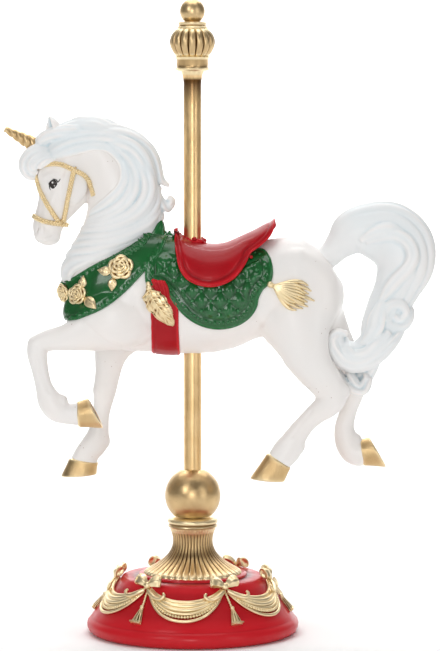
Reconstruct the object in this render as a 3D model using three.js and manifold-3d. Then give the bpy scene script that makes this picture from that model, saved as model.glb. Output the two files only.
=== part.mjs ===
// A carousel unicorn figurine: a cast, painted horse on a gold pole, which stands in a
// round red base with gold swags. Millimetres, +Z up, the head towards -X.
// The origin is the centre of the base's flat underside, on the pole's axis.
import * as THREE from 'three';
import { mergeVertices } from 'three/addons/utils/BufferGeometryUtils.js';
import Module from 'manifold-3d';

const wasm = await Module();
wasm.setup();

// Driving dimensions of the stand
const POLE_RADIUS = 4.6;
const POLE_LENGTH = 260.5;
const POLE_SEATING = 20; // how far the pole runs down into the pedestal
const BORE_CLEARANCE = 0.3; // all round the pole, wherever it passes through a piece
const BASE_RADIUS = 55.4;
const BASE_HEIGHT = 30;
const BASE_TOP_RADIUS = 36.8;
const RIM_HEIGHT = 8.5;
const RIM_ROLL = 2.9; // how far the rim is rounded in at the floor
const PEDESTAL_HEIGHT = 30.5;
const PEDESTAL_FOOT_RADIUS = 26.3;
const PEDESTAL_WAIST_RADIUS = 11.4;
const PEDESTAL_RING_RADIUS = 13.1;
const FLUTES = 22;
const FLUTE_DEPTH = 0.7;
const BALL_RADIUS = 14.5;
const BALL_FLAT_RADIUS = 9.7; // where the ball is cut flat and stands on the pedestal
const FINIAL_SOCKET = 8; // how far the pole runs up into the finial
const FINIAL_BULB_RADIUS = 11.7;
const FINIAL_LOBES = 16;
const FINIAL_LOBE_DEPTH = 0.9;
const FINIAL_TOP_BALL_RADIUS = 6.5;

// The swags round the base
const SWAGS = 6;
const FIRST_BOW_ANGLE = -35.2; // degrees from -Y, towards +X
const SWAG_DROP = 12;
const SWAG_HALF_DEPTH = 4.2;
const SWAG_THICKNESS = 2.6;
const BOW_REACH = 12; // degrees from a bow's knot to the end of a loop
const TASSEL_LENGTH = 9;

// The horse: its stations below are shares of its own length, in hundredths
const HORSE_LENGTH = 229;
const HORSE_HEIGHT = 145; // the belly beside the pole, above the floor
const CLOTH_THICKNESS = 1.3;
const COLLAR_THICKNESS = 1.6;
const GIRTH_THICKNESS = 1;
const SADDLE_THICKNESS = 2.6;

const poleBase = BASE_HEIGHT + PEDESTAL_HEIGHT - POLE_SEATING;
const ballCentre = BASE_HEIGHT + PEDESTAL_HEIGHT + Math.sqrt(BALL_RADIUS ** 2 - BALL_FLAT_RADIUS ** 2);
const finialFoot = poleBase + POLE_LENGTH - FINIAL_SOCKET;
const boreRadius = POLE_RADIUS + BORE_CLEARANCE;

const vector = (x, y, z) => new THREE.Vector3(x, y, z);
const radians = THREE.MathUtils.degToRad;

// A closed geometry with shared vertices and faces that point out, as a solid.
function solid(geometry) {
  geometry.deleteAttribute('normal');
  geometry.deleteAttribute('uv');
  const merged = mergeVertices(geometry, 1e-4);
  const position = merged.attributes.position;
  const index = Array.from(merged.index.array);
  const corner = [vector(), vector(), vector()];
  let volume = 0;
  const triangles = [];
  for (let i = 0; i < index.length; i += 3) {
    const [a, b, c] = index.slice(i, i + 3);
    if (a === b || b === c || a === c) continue;
    [a, b, c].forEach((v, k) => corner[k].fromBufferAttribute(position, v));
    volume += corner[0].dot(corner[1].clone().cross(corner[2]));
    triangles.push(a, b, c);
  }
  if (volume < 0) {
    for (let i = 0; i < triangles.length; i += 3) triangles.splice(i + 1, 2, triangles[i + 2], triangles[i + 1]);
  }
  return new wasm.Manifold(new wasm.Mesh({
    numProp: 3,
    vertProperties: new Float32Array(position.array),
    triVerts: new Uint32Array(triangles),
  }));
}

// Fuses solids into one.
const fuse = (solids) => solids.reduce((whole, one) => whole.add(one));

// A named mesh from a solid.
function piece(name, whole, colour, roughness, metalness) {
  const { vertProperties, triVerts } = whole.getMesh();
  const geometry = new THREE.BufferGeometry();
  geometry.setAttribute('position', new THREE.BufferAttribute(new Float32Array(vertProperties), 3));
  geometry.setIndex(new THREE.BufferAttribute(new Uint32Array(triVerts), 1));
  geometry.computeVertexNormals();
  const mesh = new THREE.Mesh(geometry, new THREE.MeshStandardMaterial({ color: colour, roughness, metalness }));
  mesh.name = name;
  return mesh;
}

// A turned solid about the Z axis from [radius, height] points that start and end on the axis.
// radiusAt(angle, radius, height) may carve it.
function turned(points, segments, radiusAt = (angle, radius) => radius) {
  const profile = points.map(([radius, height]) => new THREE.Vector2(radius, height));
  const geometry = new THREE.LatheGeometry(profile, segments).rotateX(Math.PI / 2);
  const position = geometry.attributes.position;
  for (let i = 0; i < position.count; i++) {
    const x = position.getX(i);
    const y = position.getY(i);
    const radius = Math.hypot(x, y);
    if (radius < 1e-6) continue;
    const share = radiusAt(Math.atan2(y, x), radius, position.getZ(i)) / radius;
    position.setXY(i, x * share, y * share);
  }
  return solid(geometry);
}

// A cylinder along Z, to bore or fill with.
function rod(radius, from, to, segments = 16) {
  const geometry = new THREE.CylinderGeometry(radius, radius, to - from, segments).rotateX(Math.PI / 2);
  return solid(geometry.translate(0, 0, (from + to) / 2));
}

// An ellipsoid, turned by Euler angles in degrees.
function lump(centre, radii, turn = [0, 0, 0], around = 8, along = 5) {
  const geometry = new THREE.SphereGeometry(1, around, along).scale(...radii);
  geometry.applyMatrix4(new THREE.Matrix4().makeRotationFromEuler(new THREE.Euler(...turn.map(radians))));
  return solid(geometry.translate(...centre));
}

// A smooth value through evenly spaced numbers.
function smooth(values, t) {
  const at = t * (values.length - 1);
  const i = Math.min(Math.floor(at), values.length - 2);
  const f = at - i;
  const [p, a, b, n] = [values[Math.max(i - 1, 0)], values[i], values[i + 1], values[Math.min(i + 2, values.length - 1)]];
  return a + 0.5 * f * (b - p + f * (2 * p - 5 * a + 4 * b - n + f * (3 * (a - b) + n - p)));
}

// A limb: an oval tube through stations [x, y, z, half depth, half width]. The width is measured
// along widthAt(t), which is +Y unless it is given, and the depth across it. The ends are flat.
// The facets lie half inside and half outside the true oval.
function limb(stations, around, along, { grow = 0, widthAt = () => vector(0, 1, 0), carve = () => 1 } = {}) {
  const column = (k) => stations.map((station) => station[k]);
  const centreAt = (t) => vector(...[0, 1, 2].map((k) => smooth(column(k), t)));
  const geometry = new THREE.SphereGeometry(1, around, along + 2);
  const position = geometry.attributes.position;
  const uv = geometry.attributes.uv;
  for (let i = 0; i < position.count; i++) {
    const ring = Math.round((1 - uv.getY(i)) * (along + 2));
    const t = THREE.MathUtils.clamp((ring - 1) / along, 0, 1);
    const onAxis = ring === 0 || ring === along + 2;
    const angle = Math.round(uv.getX(i) * around) % around * 2 * Math.PI / around;
    const ahead = centreAt(Math.min(t + 0.01, 1)).sub(centreAt(Math.max(t - 0.01, 0))).normalize();
    const width = widthAt(t).clone();
    width.addScaledVector(ahead, -width.dot(ahead)).normalize();
    const depth = ahead.clone().cross(width);
    const share = onAxis ? 0 : carve(angle, t) / Math.sqrt(Math.cos(Math.PI / around));
    const place = centreAt(t)
      .addScaledVector(depth, Math.cos(angle) * share * (smooth(column(3), t) + grow))
      .addScaledVector(width, Math.sin(angle) * share * (smooth(column(4), t) + grow));
    position.setXYZ(i, place.x, place.y, place.z);
  }
  return solid(geometry);
}

// The stand
const finialHeights = { collar: 5, bulb: 15, neck: 3.2 };

function base() {
  const slope = (height) => THREE.MathUtils.mapLinear(height, RIM_HEIGHT, BASE_HEIGHT, BASE_RADIUS - 1.6, BASE_TOP_RADIUS);
  const dish = turned([
    [0, 0], [BASE_RADIUS - RIM_ROLL, 0], [BASE_RADIUS - 0.4, RIM_ROLL], [BASE_RADIUS, RIM_HEIGHT - RIM_ROLL],
    [BASE_RADIUS - 1.6, RIM_HEIGHT], [slope(BASE_HEIGHT - 1), BASE_HEIGHT - 1], [BASE_TOP_RADIUS - 1, BASE_HEIGHT],
    [0, BASE_HEIGHT],
  ], 30);
  const trim = [];
  const spacing = 360 / SWAGS;
  const onCone = (degrees, height, proud) => {
    const angle = radians(degrees - 90);
    const radius = slope(height) + proud;
    return [radius * Math.cos(angle), radius * Math.sin(angle), height];
  };
  const outward = (degrees) => vector(Math.cos(radians(degrees - 90)), Math.sin(radians(degrees - 90)), 0.75).normalize();
  for (let i = 0; i < SWAGS; i++) {
    const bow = FIRST_BOW_ANGLE + i * spacing;
    const middle = bow + spacing / 2;
    // The swag, a crescent from bow to bow.
    const swag = [-1, -0.4, 0.4, 1].map((side) => {
      const sag = 1 - side ** 2;
      const height = BASE_HEIGHT - 2 - SWAG_DROP * sag;
      return [...onCone(middle + side * spacing * 0.45, height, 0.3), 1.4 + SWAG_HALF_DEPTH * sag, SWAG_THICKNESS];
    });
    trim.push(limb(swag, 5, 4, {
      widthAt: (t) => outward(middle + (2 * t - 1) * spacing * 0.45),
    }));
    // The bow, pinched at its knot, which stands up past the base's top edge.
    const bowShape = [[-1, 0.9], [-0.55, 3.3], [0, 1.9], [0.55, 3.3], [1, 0.9]].map(([side, size]) => {
      const place = onCone(bow + side * BOW_REACH, BASE_HEIGHT + 1.2 + Math.abs(side), 2.4);
      return [...place, size, 2.2];
    });
    trim.push(limb(bowShape, 5, 4, { widthAt: () => outward(bow) }));
    // The cord and its tassel, which hang from the knot.
    const cordFoot = BASE_HEIGHT - SWAG_DROP + 4;
    trim.push(limb([
      [...onCone(bow - 2, BASE_HEIGHT, 0.6), 0.9, 1.4],
      [...onCone(bow - 3, cordFoot, 0.8), 1.5, 1.6],
      [...onCone(bow - 4, cordFoot - TASSEL_LENGTH, 0.6), 3.1, 1.8],
    ], 5, 2, { widthAt: () => outward(bow) }));
  }
  return fuse([dish, ...trim]);
}

function pedestal() {
  const z = BASE_HEIGHT;
  const top = z + PEDESTAL_HEIGHT;
  const ring = 5.2;
  const flare = turned([
    [0, z], [PEDESTAL_FOOT_RADIUS, z], [PEDESTAL_FOOT_RADIUS, z + 1],
    ...[0.16, 0.36, 0.64, 1].map((t) => {
      const spread = (1 - t) ** 2.6;
      const radius = THREE.MathUtils.lerp(PEDESTAL_WAIST_RADIUS, PEDESTAL_FOOT_RADIUS, spread) + 0.8 * t ** 4;
      return [radius, z + 1 + (PEDESTAL_HEIGHT - ring - 1) * t];
    }),
    [0, top - ring],
  ], 2 * FLUTES, (angle, radius) => {
    const groove = Math.round(angle / Math.PI * FLUTES) % 2 !== 0;
    return radius - (groove ? FLUTE_DEPTH * radius / PEDESTAL_WAIST_RADIUS * 0.8 : 0);
  });
  const collar = turned([
    [0, top - ring - 0.5], [PEDESTAL_WAIST_RADIUS, top - ring - 0.5], [PEDESTAL_RING_RADIUS, top - ring + 1],
    [PEDESTAL_RING_RADIUS, top - 1.2], [PEDESTAL_RING_RADIUS - 1.2, top], [0, top],
  ], 24);
  return flare.add(collar).subtract(rod(boreRadius, poleBase - BORE_CLEARANCE, top + 1));
}

function ball() {
  const flat = Math.asin(BALL_FLAT_RADIUS / BALL_RADIUS);
  const rings = 9;
  const arc = Array.from({ length: rings }, (_, i) => {
    const angle = Math.PI - flat - (i / (rings - 1)) * (Math.PI - flat);
    return [BALL_RADIUS * Math.sin(angle), ballCentre + BALL_RADIUS * Math.cos(angle)];
  });
  arc[rings - 1][0] = 0;
  const whole = turned([[0, arc[0][1]], ...arc], 18);
  return whole.subtract(rod(boreRadius, ballCentre - BALL_RADIUS, ballCentre + BALL_RADIUS + 1));
}

function finial() {
  const collarTop = finialFoot + 2 + finialHeights.collar;
  const bulbTop = collarTop + finialHeights.bulb;
  const neckTop = bulbTop + finialHeights.neck;
  const foot = turned([
    [0, finialFoot], [POLE_RADIUS + 1.2, finialFoot], [POLE_RADIUS + 3.6, finialFoot + 2],
    [POLE_RADIUS + 4.1, finialFoot + 2.4], [POLE_RADIUS + 4.1, collarTop + 0.5], [0, collarTop + 0.5],
  ], 16);
  const lobed = Array.from({ length: 5 }, (_, i) => {
    const t = i / 4;
    const radius = 7 + (FINIAL_BULB_RADIUS - 7) * Math.sin(Math.PI * t ** 1.15) ** 0.75;
    return [i === 4 ? 6.4 : radius, collarTop + finialHeights.bulb * t];
  });
  const bulb = turned([[0, collarTop], ...lobed, [0, bulbTop]], 2 * FINIAL_LOBES, (angle, radius) => {
    const groove = Math.round(angle / Math.PI * FINIAL_LOBES) % 2 !== 0;
    return radius - (groove ? FINIAL_LOBE_DEPTH * radius / FINIAL_BULB_RADIUS : 0);
  });
  const neck = rod(7.1, bulbTop - 0.4, neckTop);
  const topBall = lump([0, 0, neckTop + FINIAL_TOP_BALL_RADIUS - 1.2], Array(3).fill(FINIAL_TOP_BALL_RADIUS), [90, 0, 0], 12, 7);
  return fuse([foot, bulb, neck, topBall]).subtract(rod(boreRadius, finialFoot - 1, finialFoot + FINIAL_SOCKET + BORE_CLEARANCE));
}

// The horse. A station is [x, y, z, half depth, half width] in hundredths of its length, from the
// point of its belly beside the pole: +y is its far side. Paired parts give the near side's.
const TORSO = [
  [-29, 0, 14.4, 2.8, 2.6], [-27.2, 0, 14.2, 5.7, 4.8], [-23, 0, 13.5, 10.1, 6.8], [-17, 0, 14, 12.8, 8.3],
  [-9.7, 0, 14.7, 13.8, 9], [-2.9, 0, 13.5, 13.1, 10], [5.2, 0, 12.6, 11.7, 10.5], [12, 0, 14.2, 10.5, 9.8],
  [17.8, 0, 15.3, 11.2, 9.4], [22, 0, 15.3, 11.9, 9.3], [26.5, 0, 15.1, 10.8, 8.5], [30.4, 0, 15.6, 7.8, 7],
  [32.7, 0, 16.3, 5, 4.8], [33.6, 0, 16.7, 2.3, 2.2],
];
const NECK = [
  [-18.5, 0, 15.8, 11.5, 6.6], [-18.9, 0, 22, 9.6, 6.1], [-18, 0, 28.4, 7.1, 5.5], [-17.3, 0, 34.6, 6.4, 4.8],
  [-18.2, 0, 40.6, 6.4, 4.4], [-21.7, 0, 45.6, 5.7, 4.1], [-25.8, 0, 48.4, 4.6, 3.7], [-28.5, 0, 49, 3.2, 3.1],
];
const MANE = [
  [-27.6, 0, 51.1, 2.1, 2.6], [-22.8, 0, 51.8, 3, 3.7], [-17.3, 0, 49.3, 3.4, 4.4], [-13, 0, 44.9, 4.6, 5],
  [-11.1, 0, 39, 4.4, 5.2], [-10.7, 0, 33.5, 3.7, 5.2], [-10.4, 0, 29.3, 2.8, 5.2], [-10.4, 0, 25.7, 1.6, 4.4],
];
const HEAD = [
  [-24.4, 0, 49, 1.8, 2.6], [-26.5, 0, 46.8, 5, 3.9], [-28.3, 0, 42.6, 6.6, 4.6], [-29.1, 0, 38.5, 6.5, 4.4],
  [-30.4, 0, 35.1, 4.9, 3.6], [-31.9, 0, 32.1, 3.7, 2.8], [-32.9, 0, 29.3, 3.4, 2.8], [-33.2, 0, 27, 2.8, 2.5],
  [-33.2, 0, 25.3, 0.9, 1.1],
];
const NEAR_ARM = [
  [-12, -4.4, 11.6, 7.7, 3.5], [-16.5, -5.7, 9.2, 7.5, 4.1], [-22.2, -6.1, 6.8, 5.5, 3.7],
  [-27.8, -6.3, 4.9, 3.3, 2.8], [-32.4, -6.3, 4.1, 2.5, 2.4], [-34.9, -6.3, 3.2, 2.2, 2.3],
];
const NEAR_FORE_SHANK = [
  [-34.8, -6.3, 4.3, 2, 2.2], [-35, -6.3, 1.6, 2.4, 2.3], [-34.4, -6.3, -2.3, 2, 1.8],
  [-33.5, -6.3, -6.2, 2, 1.7], [-32.3, -6.3, -9.3, 2.8, 2.1], [-30.6, -6.3, -11.6, 2.8, 2.2],
  [-28.3, -6.3, -12.5, 2.4, 2], [-25.8, -6.3, -12.5, 2.8, 2.3],
];
const FAR_FORE = [
  [-14.4, 5.2, 7.7, 7.9, 3.5], [-17.2, 5.7, 3.8, 5.8, 3.5], [-18.8, 5.9, -0.2, 3.9, 2.8],
  [-19.5, 5.9, -4.3, 3, 2.4], [-20.2, 5.9, -8.5, 2.7, 2.1], [-21, 5.9, -13.6, 2, 1.7],
  [-21.6, 5.9, -17.7, 2.4, 1.9], [-22.4, 5.9, -20.5, 3, 2.2], [-24.2, 5.9, -22.8, 2.8, 2.1],
  [-25.1, 5.9, -24.7, 3.2, 2.4],
];
const NEAR_HIND = [
  [22.2, -3.5, 16.1, 9.6, 5.2], [23.5, -5.2, 8.7, 8.2, 4.8], [24.9, -5.9, 3.3, 6.4, 4],
  [26.9, -6.1, -1.2, 4.9, 3.3], [29.9, -6.1, -5.3, 4, 2.8], [31.5, -6.1, -8, 3.6, 2.6],
  [30.6, -6.1, -10.3, 3.1, 2.4], [27.6, -6.1, -12.8, 2.4, 2], [24.9, -6.1, -15.5, 2.3, 1.8],
  [22.8, -6.1, -18.5, 2.7, 2.1], [21.5, -6.1, -20.7, 3.2, 2.3], [19.4, -6.1, -23.2, 2.8, 2.3],
];
const FAR_HIND = [
  [24.8, 3.5, 14.4, 9.2, 5.2], [29, 5.2, 6.1, 6.9, 4.4], [33.2, 5.7, -1.5, 5.1, 3.5],
  [36.4, 5.9, -7.6, 3.2, 2.6], [36.6, 5.9, -9.9, 2.4, 2.3], [35.7, 5.9, -13.1, 2, 1.9],
  [34.8, 5.9, -16.8, 2.3, 1.8], [35.3, 5.9, -20.1, 2.8, 2.2], [36.9, 5.9, -22.6, 3, 2.3],
  [39, 5.9, -23.1, 3, 2.4],
];
// A hoof: the front and the heel of its coronet, then of its sole, as [x, z], and its y.
const HOOVES = [
  [[-25.6, -15.5], [-26, -9.8], [-20.1, -15.7], [-23.5, -9.1], -6.3],
  [[-28.4, -24.2], [-21.8, -25.1], [-30.3, -28.4], [-22.3, -27.9], 5.9],
  [[17, -21.4], [22.2, -24.8], [13, -27.3], [20.6, -28], -6.1],
  [[39.2, -25.8], [38.3, -19.8], [44.5, -26.1], [40.6, -19.4], 5.9],
];
const TAIL = [
  [27.6, 0, 20, 2.6, 2.8], [31.5, 0, 23.4, 2.9, 2.8], [33.4, 0, 25.4, 3.6, 2.9], [36.1, 0, 27, 5.3, 3.5], [39.8, 0, 27.7, 6.4, 3.9],
  [44.2, 0, 27.1, 7.4, 4.1], [47.2, -0.4, 24, 7.7, 4.1], [48, -0.9, 19.8, 7, 3.9],
  [46.3, -1.3, 15.5, 5.5, 3.7], [44.2, -1.7, 11.1, 5, 3.5], [42.6, -2.2, 6.6, 4.8, 3.3],
  [40.8, -2.6, 3, 3.9, 3.3], [37.5, -3.1, 0.8, 3.3, 3.1], [34.6, -3.5, 1, 3.4, 2.8],
  [32.9, -3.9, 2.9, 2.3, 2.4], [33.2, -3.9, 5, 1.4, 2], [35, -3.5, 5.6, 0.7, 1.3],
];
const TAIL_CURL = [
  [48.2, -1.3, 7.4, 0.7, 1.3], [46.5, -1.7, 6.6, 0.9, 1.3], [44.2, -2.2, 8, 1.1, 1.5],
  [43.5, -2.2, 10.5, 1.1, 1.5], [45.1, -2.2, 12.3, 1.1, 1.5], [47.4, -2.2, 11.9, 1.1, 1.5],
  [47.9, -2.2, 10, 0.9, 1.3], [46.5, -2.2, 9.1, 0.7, 1.1],
];
const TAIL_TIP = [
  [41.1, -0.9, 0.5, 2.1, 2.2], [39.8, 0, -2.8, 2.3, 2.4], [38, 0.9, -5.4, 2.5, 2.2], [36.2, 1.7, -7.3, 1.1, 1.3],
];
const FORELOCK = [
  [-30.8, -0.9, 49.1, 1.8, 2.2], [-33.5, -0.9, 47.5, 1.8, 2.4], [-36.1, -0.9, 46.3, 1.6, 2.4],
  [-38.1, -0.9, 45.2, 1.7, 2.2], [-38.6, -0.9, 43.3, 1.4, 2], [-37.4, -0.9, 42.2, 0.7, 1.3],
];
const FORELOCK_TUFT = [
  [-33.5, -1.3, 45.9, 1.4, 1.7], [-35.3, -1.5, 44.1, 1.6, 1.8], [-36.7, -1.3, 42, 1.5, 1.7],
  [-36.1, -0.9, 39.9, 0.8, 1.1],
];
const BACK_CURL = [
  [-10.2, 0, 49, 1.4, 2.6], [-8.4, 0, 45.6, 1.6, 2.6], [-7.4, 0, 41.7, 1, 2], [-6.8, 0, 39.2, 1.1, 1.7],
  [-5.2, 0, 38.3, 0.4, 0.7],
];
const LOW_CURL = [
  [-12.5, 0, 31.5, 2.2, 3.5], [-9.2, 0, 34.2, 2, 3], [-6.8, 0, 35.1, 1.3, 2.2], [-5.5, 0, 33.6, 1.1, 1.7],
  [-6.3, 0, 32.3, 0.5, 1],
];
const EAR = [[-29.8, -2.2, 46.5, 1.5, 1.2], [-31.4, -2.4, 51.2, 1.5, 1.2], [-32.7, -2.4, 54.6, 0.2, 0.3]];
const HORN = [[-33.4, 0, 46.8, 1.7, 1.8], [-38.2, 0, 49.2, 1.3, 1.3], [-43, 0, 51.7, 0.4, 0.4]];
const SEAT = [
  [-3.8, 0, 26.1, 1.8, 3.9], [-0.6, 0, 24.7, 1.8, 7], [4, 0, 23.8, 1.8, 8.7], [9.1, 0, 24.3, 2.1, 9.2],
  [13.2, 0, 25.9, 2.2, 8.3], [16.4, 0, 27.7, 2.1, 6.6], [18.2, 0, 29.1, 1.1, 3.9],
];
// What lies on the horse's sides is [x, z, half depth] and takes its y from the form under it.
const LOCKS = [
  [[-27.9, 49.2, 1.4], [-22.9, 50.6, 1.8], [-17.9, 50.8, 1.7], [-13.3, 49.7, 1.5], [-9.7, 47.6, 0.7]],
  [[-15, 42.9, 0.9], [-11.6, 38.8, 1.8], [-11.6, 34.4, 1.8], [-15.4, 31.2, 1.6], [-22.6, 28.6, 0.7]],
  [[-10.1, 29.7, 0.9], [-13.3, 26.5, 1.5], [-18.8, 25.1, 1.6], [-23.8, 24.4, 1.4], [-27.2, 22.6, 0.7]],
  [[-13.8, 25.8, 0.9], [-18.8, 23.5, 1.5], [-23.8, 22.6, 1.5], [-27, 21.7, 1.4], [-28.1, 19.2, 0.8]],
];
const STRAPS = [
  [[-34.8, 42.8, 0.6], [-32.5, 43.6, 0.6], [-29.5, 43.6, 0.6], [-26.6, 42.3, 0.6]],
  [[-26.7, 42.1, 0.6], [-27.5, 38.2, 0.6], [-28.4, 34.3, 0.6], [-29.3, 30.5, 0.6]],
  [[-35.8, 31.8, 0.6], [-33.6, 30.8, 0.6], [-31.1, 30.3, 0.6], [-28.4, 29.9, 0.6]],
];
const TASSELS = [
  [[-9.6, 15.9, 0.9], [-8.3, 13.2, 2], [-6.2, 10.5, 2], [-4, 8, 0.7]],
  [[17.3, 17.1, 0.9], [19.6, 15.7, 1.6], [22.5, 14.1, 2.2], [26.8, 13.4, 0.7]],
];
// A rose is [x, z, radius]; a leaf is [x, z, half length, slope in degrees].
const ROSES = [[-16, 20.2, 2.5], [-25.6, 13.7, 2.2], [-29.2, 13.6, 1.8]];
const LEAVES = [[-19.6, 19.9, 2, 10], [-17.4, 16.8, 2, 60], [-23.7, 16, 1.9, -30], [-23.3, 12, 1.8, 35]];
// Outlines of what the horse wears, seen from its side, as [x, z].
const SADDLE_CLOTH = [
  [-10.1, 16.3], [-10.3, 20.8], [-7.4, 32.6], [17.1, 32.6], [17.5, 23.1], [18.2, 19.4], [16.6, 16.3],
  [15.1, 14.5], [14.6, 11.8], [13.2, 9.1], [10.3, 6.8], [6, 6], [1.7, 6.5], [-1.5, 8.2], [-3.7, 10.4],
  [-5.5, 13.6], [-7.6, 15.9],
];
const SADDLE_SKIRT = [
  [-3.5, 29.9], [-3.5, 25.4], [-2.8, 21.3], [-1, 18.1], [1.7, 16.5], [4.4, 16.2], [7.4, 17.1],
  [10.1, 19.2], [12.6, 23.8], [17.5, 27.2], [17.5, 29.9],
];
const GIRTH = [[-9.2, 16.8], [-9.2, -3], [-2.8, -3], [-3.3, 13.1], [-5.5, 16.8]];
const COLLAR = [
  [-30.9, 16.8], [-28.2, 17.2], [-22.3, 20.8], [-15.5, 24.2], [-12.3, 26.3], [-9.6, 29.4], [-7.4, 30.8],
  [-6.9, 24.5], [-10.3, 20.4], [-14.1, 16.3], [-17.3, 13.4], [-20.5, 11.3], [-24.1, 9.7], [-26.8, 8.8],
  [-30.9, 8.8],
];

const share = HORSE_LENGTH / 100;
const posed = (stations) => stations.map(([x, y, z, depth, width]) => [
  x * share, y * share, HORSE_HEIGHT + z * share, depth * share, width * share,
]);

// The y of the near flank of some limbs at a place [x, z], all in shares.
function flank(limbs, x, z) {
  let furthest = 0;
  for (const stations of limbs) {
    for (let t = 0; t <= 1; t += 0.02) {
      const [cx, cy, cz, depth, width] = [0, 1, 2, 3, 4].map((k) => smooth(stations.map((s) => s[k]), t));
      const off = Math.hypot(x - cx, z - cz) / depth;
      if (off < 1) furthest = Math.min(furthest, cy - width * Math.sqrt(1 - off ** 2));
    }
  }
  return furthest;
}

// A strand that lies on both sides of some limbs, sunk by a part of its own thickness.
function strands(paths, limbs, flatness, around, along, sunk = 0.2) {
  return paths.flatMap((path) => [1, -1].map((side) => {
    const lying = path.map(([x, z, depth]) => {
      const y = flank(limbs, x, z) + sunk * depth * flatness;
      return [x, side * y, z, depth, depth * flatness];
    });
    return limb(posed(lying), around, along);
  }));
}

function hoof([frontTop, heelTop, frontSole, heelSole, y]) {
  const geometry = new THREE.CylinderGeometry(1, 1, 2, 8, 1);
  const position = geometry.attributes.position;
  for (let i = 0; i < position.count; i++) {
    const top = position.getY(i) > 0;
    const [front, heel] = top ? [frontTop, heelTop] : [frontSole, heelSole];
    const along = (1 + position.getX(i)) / 2;
    position.setXYZ(
      i,
      share * THREE.MathUtils.lerp(front[0], heel[0], along),
      share * (y + position.getZ(i) * (top ? 2.4 : 2.9)),
      HORSE_HEIGHT + share * THREE.MathUtils.lerp(front[1], heel[1], along),
    );
  }
  return solid(geometry);
}

// The body's limbs, swollen by some thickness: what the horse wears is cut out of swollen limbs.
const trunk = (grow) => limb(posed(TORSO), 14, 14, { grow });
const neck = (grow) => limb(posed(NECK), 12, 6, { grow });
const thighs = (grow) => [limb(posed(NEAR_HIND), 8, 9, { grow }), limb(posed(FAR_HIND), 8, 8, { grow })];

// What some swollen limbs wear inside an outline.
function worn(outline, limbs) {
  const shape = new THREE.Shape(outline.map(([x, z]) => new THREE.Vector2(x * share, z * share)));
  const reach = 0.25 * HORSE_LENGTH;
  const geometry = new THREE.ExtrudeGeometry(shape, { depth: reach, bevelEnabled: false });
  geometry.translate(0, 0, -reach / 2).rotateX(Math.PI / 2).translate(0, 0, HORSE_HEIGHT);
  return fuse(limbs).intersect(solid(geometry));
}

function rose([x, z, radius]) {
  const y = flank([TORSO, NECK], x, z) - 0.3;
  const petals = [[0, 1], [0.9, 1], [1.1, 0.55], [1.6, 0.45]].map(([out, spread]) => (
    [x, y - out, z, radius * spread, radius * spread]));
  return limb(posed(petals), 8, 2, {
    widthAt: () => vector(1, 0, 0),
    carve: (angle) => 1 + 0.12 * Math.cos(4 * angle),
  });
}

function leaf([x, z, length, slope]) {
  const y = flank([TORSO, NECK], x, z) - 0.5;
  const place = [x * share, y * share, HORSE_HEIGHT + z * share];
  return lump(place, [length * share, 0.8 * share, length * share / 2], [0, -slope, 0], 5, 3);
}

function horse() {
  const plume = (angle, t) => 1 + 0.06 * Math.cos(5 * angle + 5 * t);
  const tresses = (angle, t) => 1 + 0.07 * Math.cos(6 * Math.abs(angle - Math.PI) + 9 * t);
  const spiral = (angle, t) => 1 - 0.16 * Math.max(0, Math.cos(angle + 20 * t));
  const parts = [
    trunk(0),
    neck(0),
    ...thighs(0),
    limb(posed(NEAR_ARM), 8, 5),
    limb(posed(FAR_FORE), 8, 7),
    worn(SADDLE_CLOTH, [trunk(CLOTH_THICKNESS), neck(CLOTH_THICKNESS), ...thighs(CLOTH_THICKNESS)]),
    worn(COLLAR, [trunk(COLLAR_THICKNESS), neck(COLLAR_THICKNESS)]),
    worn(GIRTH, [trunk(GIRTH_THICKNESS)]),
    worn(SADDLE_SKIRT, [trunk(SADDLE_THICKNESS)]),
    limb(posed(SEAT), 8, 6),
    rod(POLE_RADIUS + 2.6, HORSE_HEIGHT + 20 * share, HORSE_HEIGHT + 27 * share),
    limb(posed(HEAD), 10, 8),
    limb(posed(MANE), 12, 8, { carve: tresses }),
    limb(posed(NEAR_FORE_SHANK), 8, 7),
    ...HOOVES.map(hoof),
    limb(posed(TAIL), 12, 18, { carve: plume }),
    limb(posed(TAIL_CURL), 5, 7),
    limb(posed(TAIL_TIP), 6, 4),
    limb(posed(FORELOCK), 5, 5),
    limb(posed(FORELOCK_TUFT), 5, 4),
    limb(posed(BACK_CURL), 5, 4),
    limb(posed(LOW_CURL), 5, 4),
    limb(posed(HORN), 5, 8, { carve: spiral }),
    ...strands(LOCKS, [TORSO, NECK, MANE], 0.7, 5, 4),
    ...strands(STRAPS, [HEAD, NECK], 0.8, 4, 2),
    ...strands(TASSELS, [TORSO, NEAR_HIND], 0.5, 4, 3, -0.6),
    ...ROSES.map(rose),
    ...LEAVES.map(leaf),
  ];
  for (const side of [1, -1]) {
    const ear = EAR.map(([x, y, z, depth, width]) => [x, side * y, z, depth, width]);
    parts.push(limb(posed(ear), 5, 3));
  }
  const bore = rod(boreRadius, poleBase, poleBase + POLE_LENGTH);
  return fuse(parts).subtract(bore);
}

const pole = () => rod(POLE_RADIUS, poleBase, poleBase + POLE_LENGTH);

// The painted and gilt colours
const RED = 0xb8141f;
const GOLD = 0xc59a52;
const WHITE = 0xf1efec;

const figurine = new THREE.Group();
figurine.add(
  piece('base', base(), RED, 0.35, 0),
  piece('pedestal', pedestal(), GOLD, 0.35, 0.9),
  piece('ball', ball(), GOLD, 0.35, 0.9),
  piece('pole', pole(), GOLD, 0.3, 0.9),
  piece('finial', finial(), GOLD, 0.35, 0.9),
  piece('horse', horse(), WHITE, 0.6, 0),
);
export default figurine;
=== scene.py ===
import math

import bpy
import numpy as np
from bpy.props import FloatProperty, FloatVectorProperty, IntProperty, PointerProperty
from bpy.types import Operator, Panel, PropertyGroup
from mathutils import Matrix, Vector
from mathutils.bvhtree import BVHTree


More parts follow.
